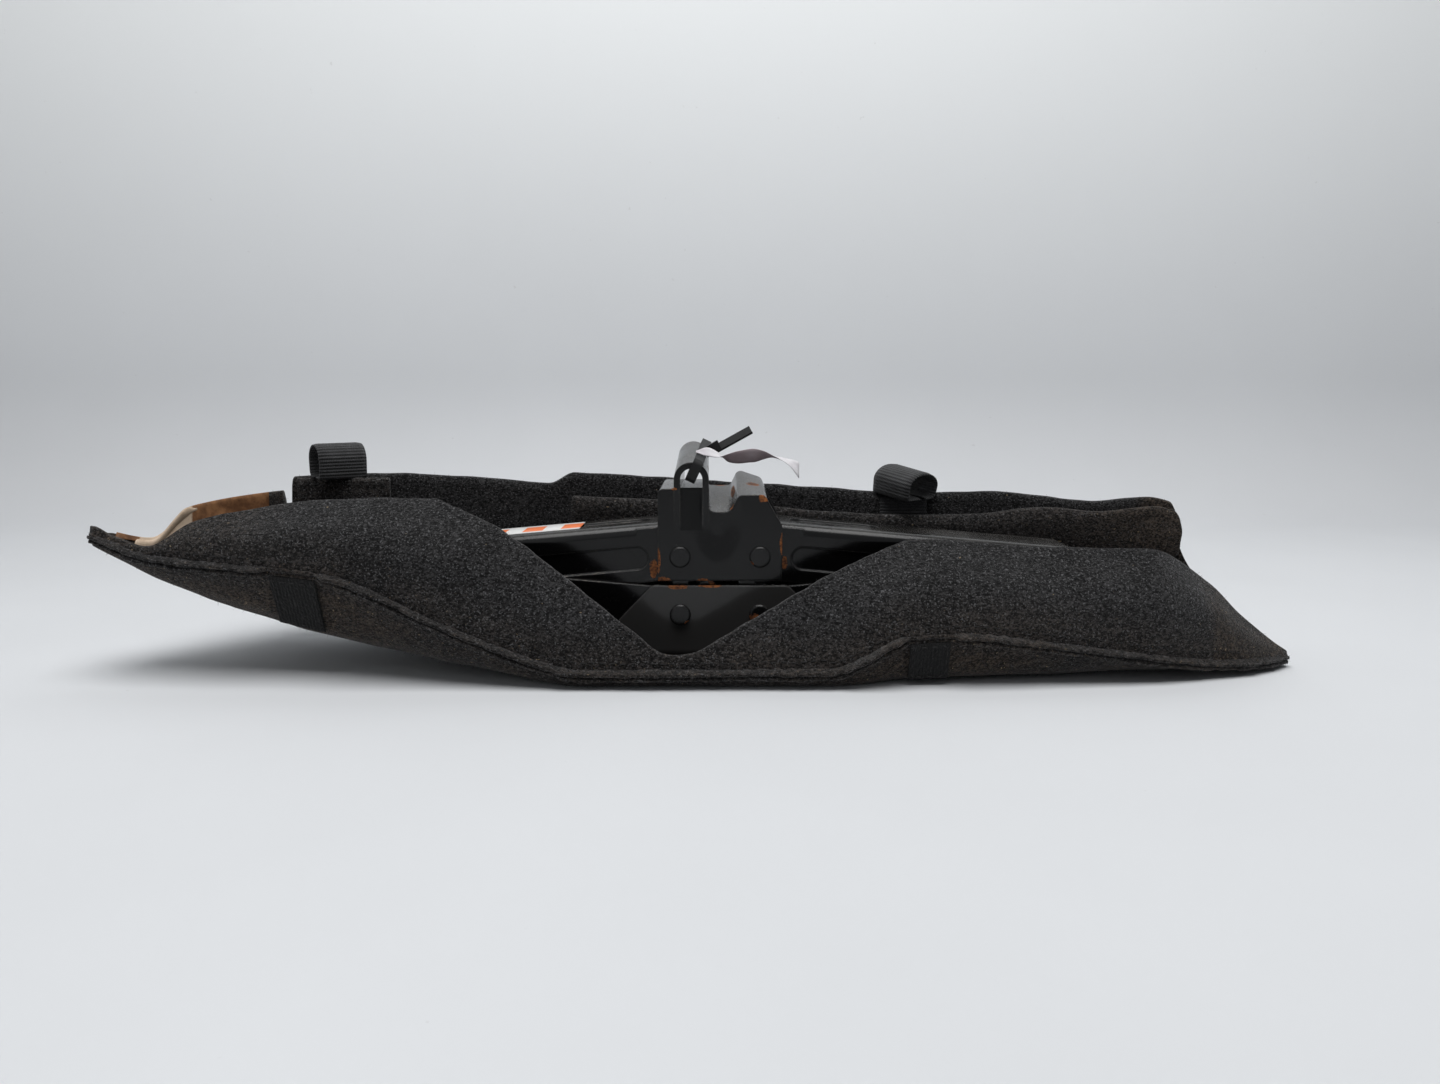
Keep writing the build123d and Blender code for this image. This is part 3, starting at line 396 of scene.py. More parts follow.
@as_material
def hook_tape(wire, colour):
    """Worn hook tape: rows of cut hooks on a woven ground, with lint caught in them."""
    place = wire.place()
    hooks = place.stretched((1.0, 1.0, 0.55)).cells(1100.0)
    rows = place.axis("X").wave(0.0016)
    lint = place.stretched((2.0, 1.0, 0.8)).grain(330.0, 3.0)
    ground = hooks.step(0.1, 0.75).blend((0.011, 0.0107, 0.0105), colour)
    tone = (lint.step(0.6, 0.75) * 0.4).blend(ground, (0.05, 0.047, 0.044))
    return surface(
        wire,
        base_color=tone,
        roughness=0.8,
        normal=(rows * 0.3 - hooks).bump(0.9, 0.0008),
        sheen_weight=0.03,
        specular_ior_level=0.25,
    )


@as_material
def soft_nylon(wire, colour):
    """Dull black nylon with a faint haze."""
    place = wire.place()
    haze = place.grain(180.0, 3.0)
    tone = haze.step(0.4, 0.9).blend(colour, (0.008, 0.008, 0.0085))
    return surface(
        wire,
        base_color=tone,
        roughness=0.45 + haze * 0.2,
        normal=haze.bump(0.15, 0.0003),
        specular_ior_level=0.3,
    )


@as_material
def paper(wire, colour, stain):
    """Blank paper with soft blotches."""
    place = wire.place()
    pulp = place.grain(900.0, 3.0)
    blotch = place.grain(95.0, 3.0)
    tone = blotch.step(0.4, 0.75).blend(colour, stain)
    return surface(wire, base_color=tone, roughness=0.85, normal=pulp.bump(0.2, 0.0002))


@as_material
def aged_tape(wire):
    """Brittle brown tape, bleached to cream where it is creased."""
    place = wire.place()
    crease = place.grain(120.0, 5.0, 0.65)
    age = wire.attribute("age")
    brown = crease.step(0.35, 0.7).blend((0.12, 0.046, 0.014), (0.34, 0.16, 0.065))
    cream = crease.step(0.45, 0.75).blend((0.64, 0.5, 0.37), (0.4, 0.28, 0.18))
    tone = (age + crease * 0.35 - 0.17).step(0.4, 0.6).blend(cream, brown)
    rough = 0.5 + crease * 0.3
    return surface(wire, base_color=tone, roughness=rough, normal=crease.bump(0.5, 0.0008))


@as_material
def plain_thread(wire, colour):
    """Matt thread or fibre with a twist."""
    twist = wire.place().grain(1500.0, 2.0)
    tone = twist.step(0.3, 0.7).blend(colour, scaled(colour, 1.9))
    return surface(wire, base_color=tone, roughness=0.8, normal=twist.bump(0.4, 0.0002))


@as_material
def arm_label(wire):
    """A blank pale label with worn orange blocks and no words."""
    along = wire.node("ShaderNodeUVMap", uv_map="weave")
    place = wire.place()
    scuff = place.grain(300.0, 4.0, 0.6)
    run = along.axis("X")
    across = along.axis("Y")
    block = run.wave(19.0).step(-0.2, 0.0)
    block = block * across.step(4.2, 4.6) * (1.0 - across.step(20.4, 20.8))
    tone = block.blend((0.72, 0.72, 0.71), (0.78, 0.17, 0.035))
    tone = (scuff.step(0.6, 0.7) * 0.6).blend(tone, (0.5, 0.48, 0.46))
    return surface(wire, base_color=tone, roughness=0.4 + scuff * 0.2)


@as_material
def pale_paper(wire, colour):
    """The stage's pale paper sweep, with painted light that makes it lighter up the wall."""
    place = wire.place()
    cloud = place.grain(1.6, 4.0, 0.6)
    speck = place.grain(150.0, 2.0).step(0.76, 0.8) * 0.15
    tone = cloud.step(0.3, 0.75).blend(colour, scaled(colour, 0.94))
    # Painted light: the sweep is painted lighter as it rises from the floor into the wall
    painted_wall_light = tuple(min(0.96, c * 1.3) for c in colour)
    tone = place.axis("Z").step(0.05, 0.6).blend(tone, painted_wall_light)
    tone = speck.blend(tone, (0.3, 0.28, 0.26))
    return surface(wire, base_color=tone, roughness=0.7, specular_ior_level=0.2)


def smooth_table(table):
    """Gives a function that reads a table at any x, smoothly and without overshoot."""
    places = sorted(table)
    rows = [table[p] for p in places]
    gaps = [b - a for a, b in zip(places, places[1:])]
    columns = range(len(rows[0]))
    slopes = []
    for column in columns:
        steps = [(b[column] - a[column]) / g for a, b, g in zip(rows, rows[1:], gaps)]
        inner = [2 * a * b / (a + b) if a * b > 0 else 0.0 for a, b in zip(steps, steps[1:])]
        slopes.append([steps[0]] + inner + [steps[-1]])

    def read(x):
        x = min(max(x, places[0]), places[-1])
        i = max(k for k in range(len(gaps)) if places[k] <= x)
        t = (x - places[i]) / gaps[i]
        start, end = 2 * t**3 - 3 * t**2 + 1, 3 * t**2 - 2 * t**3
        leave, arrive = (t**3 - 2 * t**2 + t) * gaps[i], (t**3 - t**2) * gaps[i]
        return [
            rows[i][c] * start + rows[i + 1][c] * end + slopes[c][i] * leave + slopes[c][i + 1] * arrive
            for c in columns
        ]

    return read


read_body = smooth_table(BAG_BODY)
read_panel = smooth_table(BAG_PANEL)
read_notch = smooth_table(NOTCH)
read_slip = smooth_table(SLIP)


def ripple(x, z, size, seed):
    """A value from about -1 to 1 that rolls gently over a surface."""
    return noise.noise(Vector((x / size, z / size, seed)))


def soft_line(corners, reach, runs, bends):
    """Points along a line of corners, with each inner corner rounded over a reach."""
    rounds = []
    for before, corner, after in zip(corners, corners[1:], corners[2:]):
        back, on = (before - corner).length, (after - corner).length
        arm = min(reach, 0.42 * back, 0.42 * on)
        rounds.append((corner.lerp(before, arm / back), corner, corner.lerp(after, arm / on)))
    starts = [corners[0]] + [r[2] for r in rounds]
    ends = [r[0] for r in rounds] + [corners[-1]]
    points = []
    for place, (start, end, count) in enumerate(zip(starts, ends, runs)):
        points += [start.lerp(end, k / count) for k in range(count)]
        if place < len(rounds):
            a, b, c = rounds[place]
            points += [a.lerp(b, k / bends).lerp(b.lerp(c, k / bends), k / bends) for k in range(bends)]
    return points + [corners[-1]]


def spread(line, count):
    """A line's points set out again at even distances."""
    lengths = [0.0]
    for a, b in zip(line, line[1:]):
        lengths.append(lengths[-1] + (b - a).length)
    points = []
    at = 0
    for k in range(count):
        goal = lengths[-1] * k / (count - 1)
        while at < len(line) - 2 and lengths[at + 1] < goal:
            at += 1
        span = lengths[at + 1] - lengths[at]
        points.append(line[at].lerp(line[at + 1], min(1.0, (goal - lengths[at]) / max(span, 1e-9))))
    return points


def below(line, height):
    """The start of a rising line, cut off at a height."""
    kept = [line[0]]
    for a, b in zip(line, line[1:]):
        if b.y >= height:
            kept.append(a.lerp(b, (height - a.y) / max(b.y - a.y, 1e-9)))
            return kept
        kept.append(b)
    return kept


def body_line(x):
    """The body's section at x: down from the front seam, along the floor and up the back wall."""
    seam_y, seam_z, front_y, floor_z, back_y, top_y, top_z = read_body(x)
    top_z += 0.6 * ripple(x, 0.0, 13.0, 6.6) * ramp(x, -225.0, -210.0) * (1.0 - ramp(x, 240.0, 250.0))
    corners = [Vector(p) for p in ((seam_y, seam_z), (front_y, floor_z), (back_y, floor_z), (top_y, top_z))]
    return soft_line(corners, 13.0, (7, 22, 16), 6)


def panel_line(x):
    """The front panel's section at x: up from the seam, and cut off at the notch's edge."""
    row = read_body(x)[:2] + read_panel(x)
    corners = [Vector(row[k : k + 2]) for k in (0, 2, 4)]
    line = soft_line(corners, 16.0, (14, 14), 12)
    if -150.0 < x < 110.0:
        line = below(line, read_notch(x)[0] + 0.5 * ripple(x, 0.0, 7.0, 4.1))
    gape = Vector((0.0, 1.8 * (1.0 - ramp(x, -288.0, -279.0))))
    return [point + gape for point in spread(line, 30)]


def under_seam(x, share, out):
    """A point at a share of the way down from the front seam to the fold, set out from the felt."""
    row = read_body(x)
    seam, fold = Vector(row[:2]), Vector(row[2:4])
    run = (fold - seam).normalized()
    return seam.lerp(fold, share) + Vector((run.y, -run.x)) * out


def felt_at(x):
    """The felt's thickness, which thins to rounded ends."""
    return FELT * (0.45 + 0.55 * ramp(x, BAG_LEFT, -286.0) * (1.0 - ramp(x, 271.0, BAG_RIGHT)))


def lefts(line):
    """The direction to the left of a line at each of its points."""
    ahead = line[1:] + line[-1:]
    behind = line[:1] + line[:-1]
    runs = [(b - a).normalized() for a, b in zip(behind, ahead)]
    return [Vector((-run.y, run.x)) for run in runs]


def at_x(x, points):
    """Points of a section in millimetres, set at x in metres."""
    return [Vector((x, p.x, p.y)) * MM for p in points]


def layer_loop(x, line, inside, thickness, lift=None):
    """A closed loop round a layer at x: outer face, far edge, inner face and near edge."""
    half = thickness / 2
    last = len(line) - 1
    normals = [left * inside for left in lefts(line)]
    middles = []
    for k, (point, normal) in enumerate(zip(line, normals)):
        raised = lift(x, point, normal, k / last) if lift else 0.0
        middles.append(point + normal * (half + raised))
    outer = [m - n * half for m, n in zip(middles, normals)]
    inner = [m + n * half for m, n in zip(middles, normals)]
    far = middles[-1] + (line[-1] - line[-2]).normalized() * half * 0.7
    near = middles[0] + (line[0] - line[1]).normalized() * half * 0.7
    return at_x(x, outer + [far] + inner[::-1] + [near])


def linked(name, data):
    """A new object in the scene."""
    made = bpy.data.objects.new(name, data)
    bpy.context.scene.collection.objects.link(made)
    return made


def new_piece(name, mesh, finish, body, stands_for=()):
    """A finished piece that rides on a body and takes the place of CAD nodes."""
    mesh.materials.append(finish)
    piece = linked(name, mesh)
    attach(piece, body)
    if stands_for:
        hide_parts(*stands_for)
    return piece


def turn_outward(mesh, close=False):
    """Turns a mesh's faces outward, and closes its open rims first where asked."""
    shell = bmesh.new()
    shell.from_mesh(mesh)
    if close:
        bmesh.ops.holes_fill(shell, edges=[edge for edge in shell.edges if edge.is_boundary])
    bmesh.ops.recalc_face_normals(shell, faces=shell.faces)
    shell.to_mesh(mesh)
    shell.free()


def skin(name, loops):
    """A closed, smooth mesh through loops that have the same count of points."""
    count = len(loops[0])
    points = [p for loop in loops for p in loop]
    last = len(points) - count
    faces = []
    for here in range(0, last, count):
        there = here + count
        for k in range(count):
            m = (k + 1) % count
            faces.append((here + k, here + m, there + m, there + k))
    faces.append(tuple(range(count)))
    faces.append(tuple(range(last, len(points))))
    mesh = bpy.data.meshes.new(name)
    mesh.from_pydata(points, [], faces)
    turn_outward(mesh)
    mesh.polygons.foreach_set("use_smooth", [True] * len(mesh.polygons))
    return mesh


def mark(mesh, name, value):
    """Stores a number at each point, worked out from its place in millimetres."""
    layer = mesh.attributes.new(name, "FLOAT", "POINT")
    layer.data.foreach_set("value", [value(v.co / MM) for v in mesh.vertices])


def weave_map(mesh, runs, across):
    """A UV map in millimetres: along the loops' runs, and across each loop's points."""
    layer = mesh.uv_layers.new(name="weave")
    for polygon in mesh.polygons:
        for corner in polygon.loop_indices:
            loop, place = divmod(mesh.loops[corner].vertex_index, len(across))
            layer.data[corner].uv = runs[loop], across[place]


def stations(start, end, step):
    """Places from start to end, about a step apart."""
    count = max(2, round((end - start) / step))
    return [start + (end - start) * k / count for k in range(count + 1)]


def ramp(value, low, high):
    """A soft rise from 0 at low to 1 at high."""
    t = min(1.0, max(0.0, (value - low) / (high - low)))
    return t * t * (3 - 2 * t)


def body_lift(x, point, normal, share):
    """Soft waves in the bag's body, with none under the jack's foot."""
    ends = ramp(abs(x), 70.0, 130.0)
    if normal.y > 0.6:
        return ends * 1.6 * abs(ripple(x, point.x, 38.0, 1.7))
    return 1.1 * ripple(x, point.y, 42.0, 2.3) * (0.35 + 0.65 * ends)


def panel_lift(x, point, normal, share):
    """Slow and quick waves in the front panel, with none at its seam."""
    free = ramp(share, 0.05, 0.4)
    slow = 2.0 * ripple(x, point.y, 55.0, 5.2)
    quick = 0.8 * ripple(x, point.y, 21.0, 8.9)
    return free * (slow + quick) * (0.4 + 0.6 * ramp(abs(x), 30.0, 120.0))


def crinkle(depth, size, seed):
    """A lift for a layer that raises it in ripples of a depth."""
    return lambda x, point, normal, share: depth * abs(ripple(x, point.y, size, seed))


def felt_soil(place):
    """Soil gathers at the bag's tips and along its front seam."""
    tips = max(ramp(place.x, 221.0, 234.0), 0.8 * ramp(-place.x, 185.0, 265.0))
    seam = Vector(read_body(place.x)[:2])
    low = 1.0 - ramp((place.yz - seam).length, 3.0, 26.0)
    under = 0.85 * (1.0 - ramp(place.z - seam.y, -12.0, 3.0)) * (place.y < 0)
    return min(1.0, max(tips, 0.4 * low, under))


def path_object(name, lines):
    """A curve object of straight runs through lines of points in metres, for a node tree to work on."""
    curve = bpy.data.curves.new(name, "CURVE")
    curve.dimensions = "3D"
    for points in lines:
        run = curve.splines.new("POLY")
        run.points.add(len(points) - 1)
        for place, point in zip(run.points, points):
            place.co = (*point, 1.0)
    return linked(name, curve)


def grown(tree, base, sizes):
    """The plain mesh that a Geometry Nodes tree makes from an object."""
    modifier = base.modifiers.new("grow", "NODES")
    modifier.node_group = tree
    for item in tree.interface.items_tree:
        if item.name in sizes:
            modifier[item.identifier] = sizes[item.name]
    graph = bpy.context.evaluated_depsgraph_get()
    mesh = bpy.data.meshes.new_from_object(base.evaluated_get(graph), depsgraph=graph)
    base.modifiers.remove(modifier)
    mesh.materials.clear()
    return mesh


def growing_tree(name, sizes):
    """A Geometry Nodes tree with a geometry input and output and named number inputs."""
    tree = bpy.data.node_groups.new(name, "GeometryNodeTree")
    tree.interface.new_socket("Base", in_out="INPUT", socket_type="NodeSocketGeometry")
    for size, kind in sizes.items():
        tree.interface.new_socket(size, in_out="INPUT", socket_type=kind)
    tree.interface.new_socket("Grown", in_out="OUTPUT", socket_type="NodeSocketGeometry")
    entry = tree.nodes.new("NodeGroupInput")
    inputs = [Wire(tree, entry.outputs[k]) for k in range(1 + len(sizes))]
    return tree, Wire(tree), inputs


def ended(tree, wire, instances, finish):
    """Realizes instances, gives them a finish and closes the tree."""
    solid = wire.node("GeometryNodeRealizeInstances", {0: instances})
    painted = wire.node("GeometryNodeSetMaterial", {"Geometry": solid, "Material": finish})
    out = tree.nodes.new("NodeGroupOutput")
    tree.links.new(painted.socket, out.inputs[0])
    return tree


def stitch_tree(finish):
    """Short thread stitches at even distances along a curve."""
    sizes = {"Spacing": "NodeSocketFloat", "Length": "NodeSocketFloat", "Thread": "NodeSocketFloat"}
    tree, wire, (base, spacing, length, thread) = growing_tree("stitch_row", sizes)
    even = wire.node("GeometryNodeResampleCurve", {"Curve": base, "Length": spacing}, mode="LENGTH")
    stitch = wire.node("GeometryNodeMeshUVSphere", {"Segments": 6, "Rings": 5, "Radius": 0.5})
    tangent = wire.node("GeometryNodeInputTangent")
    lie = wire.node("FunctionNodeAlignRotationToVector", {"Vector": tangent}, axis="X")
    size = wire.node("ShaderNodeCombineXYZ", {0: length, 1: thread, 2: thread})
    sockets = {"Points": even, "Instance": stitch, "Rotation": lie, "Scale": size}
    rows = wire.node("GeometryNodeInstanceOnPoints", sockets)
    return ended(tree, wire, rows, finish)


def fibre_tree(finish):
    """Loose fibres that stand up from felt, tilted at random."""
    sizes = {"Density": "NodeSocketFloat", "Length": "NodeSocketFloat", "Seed": "NodeSocketInt"}
    tree, wire, (base, density, length, seed) = growing_tree("loose_fibres", sizes)
    scatter = tree.nodes.new("GeometryNodeDistributePointsOnFaces")
    for socket, value in (("Mesh", base), ("Density", density), ("Seed", seed)):
        tree.links.new(value.socket, scatter.inputs[socket])
    points, rotation = Wire(tree, scatter.outputs[0]), Wire(tree, scatter.outputs[2])
    taper = {"Vertices": 3, "Radius Top": 0.012, "Radius Bottom": 0.03, "Depth": 1.0}
    fibre = wire.node("GeometryNodeMeshCone", taper, fill_type="NONE")
    tilts = {0: (-1.25, -1.25, 0.0), 1: (1.25, 1.25, 6.2), "Seed": 7}
    lean = wire.node("FunctionNodeRandomValue", tilts, data_type="FLOAT_VECTOR")
    lean = wire.node("FunctionNodeEulerToRotation", {0: lean})
    tilted = wire.node("FunctionNodeRotateRotation", {0: rotation, 1: lean}, rotation_space="LOCAL")
    share = wire.node("FunctionNodeRandomValue", {2: 0.4, 3: 1.3, "Seed": 11}, 1, data_type="FLOAT")
    sockets = {"Points": points, "Instance": fibre, "Rotation": tilted, "Scale": share * length}
    hairs = wire.node("GeometryNodeInstanceOnPoints", sockets)
    return ended(tree, wire, hairs, finish)


def thread_tree(finish):
    """A screw thread wrapped from a flat grid: x along the bar, y round it."""
    sizes = {"Start": "NodeSocketFloat", "End": "NodeSocketFloat", "Radius": "NodeSocketFloat"}
    sizes.update({"Depth": "NodeSocketFloat", "Pitch": "NodeSocketFloat"})
    tree, wire, (_, start, end, radius, depth, pitch) = growing_tree("screw_thread", sizes)
    sockets = {"Size X": 1.0, "Size Y": 1.0, "Vertices X": 721, "Vertices Y": 25}
    grid = wire.node("GeometryNodeMeshGrid", sockets)
    spot = wire.node("GeometryNodeInputPosition")
    share = spot.axis("X") + 0.5
    turn = spot.axis("Y") + 0.5
    along = start + share * (end - start)
    phase = wire.maths("FRACT", wire.maths("DIVIDE", along, pitch) - turn)
    crest = wire.maths("ABSOLUTE", phase - 0.5)
    cut = crest.step(0.16, 0.34) * depth
    ends = share.step(0.0, 0.004) * (1.0 - share.step(0.996, 1.0))
    reach = radius - cut * ends
    angle = turn * (2 * pi)
    across, rise = (wire.maths(kind, angle) * reach for kind in ("COSINE", "SINE"))
    wrapped = wire.node("ShaderNodeCombineXYZ", {0: along, 1: across, 2: rise})
    bar = wire.node("GeometryNodeSetPosition", {"Geometry": grid, "Position": wrapped})
    closed = wire.node("GeometryNodeMergeByDistance", {"Geometry": bar, "Distance": 0.00002})
    return ended(tree, wire, closed, finish)


class JackPaint(bpy.types.PropertyGroup):
    """Finishes of the jack's steel."""

    black: FloatVectorProperty(
        name="Paint", description="Black paint's colour", subtype="COLOR", default=(0.003, 0.003, 0.0031)
    )
    dusty: FloatVectorProperty(
        name="Dusty paint", description="Base's dusty colour", subtype="COLOR", default=(0.036, 0.035, 0.0345)
    )
    rivet: FloatVectorProperty(
        name="Rivets", description="Painted rivets' colour", subtype="COLOR", default=(0.006, 0.006, 0.0062)
    )
    screw: FloatVectorProperty(
        name="Screw steel", description="Oiled steel's colour", subtype="COLOR", default=(0.3, 0.29, 0.275)
    )
    gloss: FloatProperty(
        name="Roughness", description="Paint's mean roughness", default=0.17, min=0.05, max=1.0
    )
    pitch: FloatProperty(
        name="Thread pitch", description="Lead screw's pitch", default=0.0035, unit="LENGTH"
    )


class BagFelt(bpy.types.PropertyGroup):
    """Finishes and loose fibres of the bag."""

    dark: FloatVectorProperty(
        name="Felt", description="Felt's dark colour", subtype="COLOR", default=(0.0035, 0.0034, 0.0035)
    )
    light: FloatVectorProperty(
        name="Felt, light", description="Felt's light colour", subtype="COLOR", default=(0.05, 0.049, 0.05)
    )
    soil: FloatVectorProperty(
        name="Soil", description="Soil in the felt", subtype="COLOR", default=(0.058, 0.042, 0.03)
    )
    webbing: FloatVectorProperty(
        name="Webbing", description="Webbing's colour", subtype="COLOR", default=(0.012, 0.012, 0.0125)
    )
    fibres: FloatProperty(
        name="Fibres", description="Loose fibres on each square metre", default=60000.0, min=0.0
    )
    fibre_length: FloatProperty(
        name="Fibre length", description="A loose fibre's length", default=0.0015, unit="LENGTH"
    )
    stitch: FloatProperty(
        name="Stitch spacing", description="Distance between stitches", default=0.0045, unit="LENGTH"
    )
    seed: IntProperty(name="Seed", description="Seed of what is scattered", default=5)


class StudioStage(bpy.types.PropertyGroup):
    """Pale sweep and soft light."""

    paper: FloatVectorProperty(
        name="Paper", description="Sweep's colour", subtype="COLOR", default=(0.72, 0.735, 0.755)
    )
    lamp: FloatProperty(name="Lamp", description="Top lamp's power", default=21.5, subtype="POWER")
    sky: FloatProperty(name="Sky", description="Strength of the even light", default=0.11)
    backdrop: FloatProperty(
        name="Backdrop", description="Strength of the sky where it is seen or mirrored", default=0.42
    )


class JACK_OT_painted_steel(bpy.types.Operator):
    """Paints the base, arms, saddle and rivets."""

    bl_idname = "jack.painted_steel"
    bl_label = "Painted steel"

    def execute(self, context):
        look = context.scene.jack_paint
        top = SADDLE_PIVOT
        # Rusty spots: middle and reach along each axis, in millimetres
        rust = {
            "saddle": [
                ((0.0, 25, top + 29), (7, 2.5, 2.5)),
                ((6.5, 2, top + 28), (2.2, 26, 6)),
                ((6.0, -22, top + 23), (2.5, 4, 4)),
                ((20.5, -24, top + 28), (5, 5, 4)),
                ((17.0, 0, top + 33), (8, 9, 3)),
                ((-29.5, -25, top - 2), (2.6, 5, 11)),
                ((-27.0, -25, top - 11), (6, 5, 3)),
                ((29.5, -25, top + 6), (2.4, 5, 9)),
                ((-8, -25, top - 11.5), (5, 3, 2.4)),
                ((-5.5, -10, top + 40), (3, 5, 5)),
                ((-21.5, -24, top + 32.5), (3, 5, 1.6)),
            ],
            "base": [
                ((-20, -25, 39.5), (9, 4, 2.4)),
                ((-5, -25, 40), (10, 4, 1.8)),
                ((16, -25, 22), (6, 4, 4)),
            ],
            "lower_arm_left": [((-20, -21, 44), (5, 4, 4)), ((-4, -21, 42), (4, 4, 4))],
            "lower_arm_right": [((4, -21, 43), (4, 4, 4)), ((20, -21, 44), (4, 4, 4))],
            "upper_arm_left": [((-32, -19, 47), (4, 4, 8)), ((-4, -19, 44), (4, 4, 4))],
            "upper_arm_right": [((31, -19, 50), (3, 4, 6)), ((4, -19, 44), (4, 4, 4))],
            "base_rivets": [((16.5, -26, 25), (5, 4, 5)), ((-15.5, -26, 22), (3, 4, 3))],
            "saddle_rivets": [((15, -26, top - 3), (2.5, 4, 2.5))],
        }
        dish = {"saddle": ((-1.0, -SADDLE_FACE, top + 17), (13, 60, 21))}
        painted = ["base", "lower_arm_left", "lower_arm_right", "upper_arm_left", "upper_arm_right", "saddle"]
        fasteners = ["base_rivets", "saddle_rivets", "saddle_spacers"]
        fasteners += ["nut_trunnion_washers", "drive_trunnion_washers"]
        colours = dict.fromkeys(painted, look.black) | dict.fromkeys(fasteners, look.rivet)
        colours["base"] = look.dusty
        for name, colour in colours.items():
            dusting = 0.5 if name == "saddle" else 0.25
            sizes = (tuple(colour), rust.get(name), look.gloss, dusting, dish.get(name))
            paint_node(name, black_paint(f"paint_{name}", *sizes))
        return {"FINISHED"}


def paint_node(name, finish):
    """Gives a CAD node a finish."""
    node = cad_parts[name]
    for place in node.material_slots:
        place.material = finish
    if not node.material_slots:
        node.data.materials.append(finish)


class JACK_OT_bare_steel(bpy.types.Operator):
    """Finishes the trunnions, the thrust bearing, the crank eye and the screw's rings."""

    bl_idname = "jack.bare_steel"
    bl_label = "Bare steel"

    def execute(self, context):
        look = context.scene.jack_paint
        dark = oiled_steel("oiled_steel", tuple(look.screw), 0.28)
        painted_wall_light = oiled_steel("bearing_steel", (0.55, 0.55, 0.55), 0.12)
        for name in ("nut_trunnion", "drive_trunnion", "crank_eye", "screw_retainer", "screw_stop"):
            paint_node(name, dark)
        for name in ("thrust_race_inner", "thrust_balls", "thrust_race_outer"):
            paint_node(name, painted_wall_light)
        return {"FINISHED"}


class JACK_OT_lead_screw(bpy.types.Operator):
    """Cuts the lead screw's thread with a Geometry Nodes tree."""

    bl_idname = "jack.lead_screw"
    bl_label = "Lead screw"

    def execute(self, context):
        look = context.scene.jack_paint
        low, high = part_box("lead_screw")
        finish = oiled_steel("screw_thread", tuple(look.screw), 0.26)
        base = linked("thread_base", bpy.data.meshes.new("thread_base"))
        radius = (high[2] - low[2]) / 2
        sizes = {"Start": low[0], "End": high[0], "Radius": radius, "Depth": 0.0014, "Pitch": look.pitch}
        mesh = grown(thread_tree(finish), base, sizes)
        bpy.data.objects.remove(base)
        mesh.transform(Matrix.Translation((0.0, 0.0, (low[2] + high[2]) / 2)))
        turn_outward(mesh, close=True)
        new_piece("threaded_screw", mesh, finish, "screw", ["lead_screw"])
        return {"FINISHED"}


class JACK_OT_tie_and_slip(bpy.types.Operator):
    """Finishes the cable tie and makes the twisted paper slip."""

    bl_idname = "jack.tie_and_slip"
    bl_label = "Cable tie and paper slip"

    def execute(self, context):
        paint_node("cable_tie", soft_nylon("tie_nylon", (0.0025, 0.0025, 0.0027)))
        white = paper("slip_white", (0.74, 0.73, 0.75), (0.6, 0.57, 0.6))
        mauve = paper("slip_mauve", (0.24, 0.19, 0.2), (0.3, 0.25, 0.26))
        loops = []
        rows = 6
        curl = [0.5 * (2 * k / (rows - 1) - 1) ** 2 for k in range(rows)]
        for x in stations(min(SLIP), max(SLIP), 0.8):
            y, z, turn, width = read_slip(x)
            normal = Vector((-cos(radians(turn)), sin(radians(turn))))
            across = Vector((sin(radians(turn)), cos(radians(turn))))
            middle = Vector((y, SADDLE_PIVOT + z))
            line = [
                middle + across * width * (k / (rows - 1) - 0.5) + normal * curl[k] for k in range(rows)
            ]
            face = [p + normal * 0.15 for p in line]
            back = [p - normal * 0.15 for p in line]
            loops.append(at_x(x, face + back[::-1]))
        mesh = skin("paper_slip_twisted", loops)
        new_piece("paper_slip_twisted", mesh, white, "saddle", ["paper_slip"])
        mesh.materials.append(mauve)
        count = 2 * rows
        for index, polygon in enumerate(mesh.polygons):
            k = index % count
            on_back = index < count * (len(loops) - 1) and rows <= k < count - 1
            polygon.material_index = 1 if on_back else 0
        return {"FINISHED"}


class JACK_OT_arm_label(bpy.types.Operator):
    """Lays the blank label along the left upper arm's top."""

    bl_idname = "jack.arm_label"
    bl_label = "Arm label"

    def execute(self, context):
        tilt = Matrix.Rotation(radians(-ARM_TILT), 3, "Y")
        home = Vector((-PIVOT_REACH, 0.0, SADDLE_PIVOT))
        start, length, half, back, face = LABEL
        runs = stations(0.0, length, 1.5)
        across = [-half, 0.0, half]
        section = [(y, back) for y in across] + [(y, face) for y in across[::-1]]
        loops = [[(home + tilt @ Vector((-start - run, y, z))) * MM for y, z in section] for run in runs]
        mesh = skin("arm_label", loops)
        weave_map(mesh, runs, [y + half for y, _ in section])
        new_piece("arm_label", mesh, arm_label("label_print"), "upper_arm_left")
        return {"FINISHED"}


def felt_piece(name, loops, soil, stands_for=()):
    """A piece of the bag's felt through loops, with soil worked out from each point's place."""
    look = bpy.context.scene.bag_felt
    felt = bpy.data.materials.get("needle_felt")
    felt = felt or needle_felt("needle_felt", tuple(look.dark), tuple(look.light), tuple(look.soil))
    mesh = skin(name, loops)
    mark(mesh, "soil", soil)
    return new_piece(name, mesh, felt, "bag", stands_for)


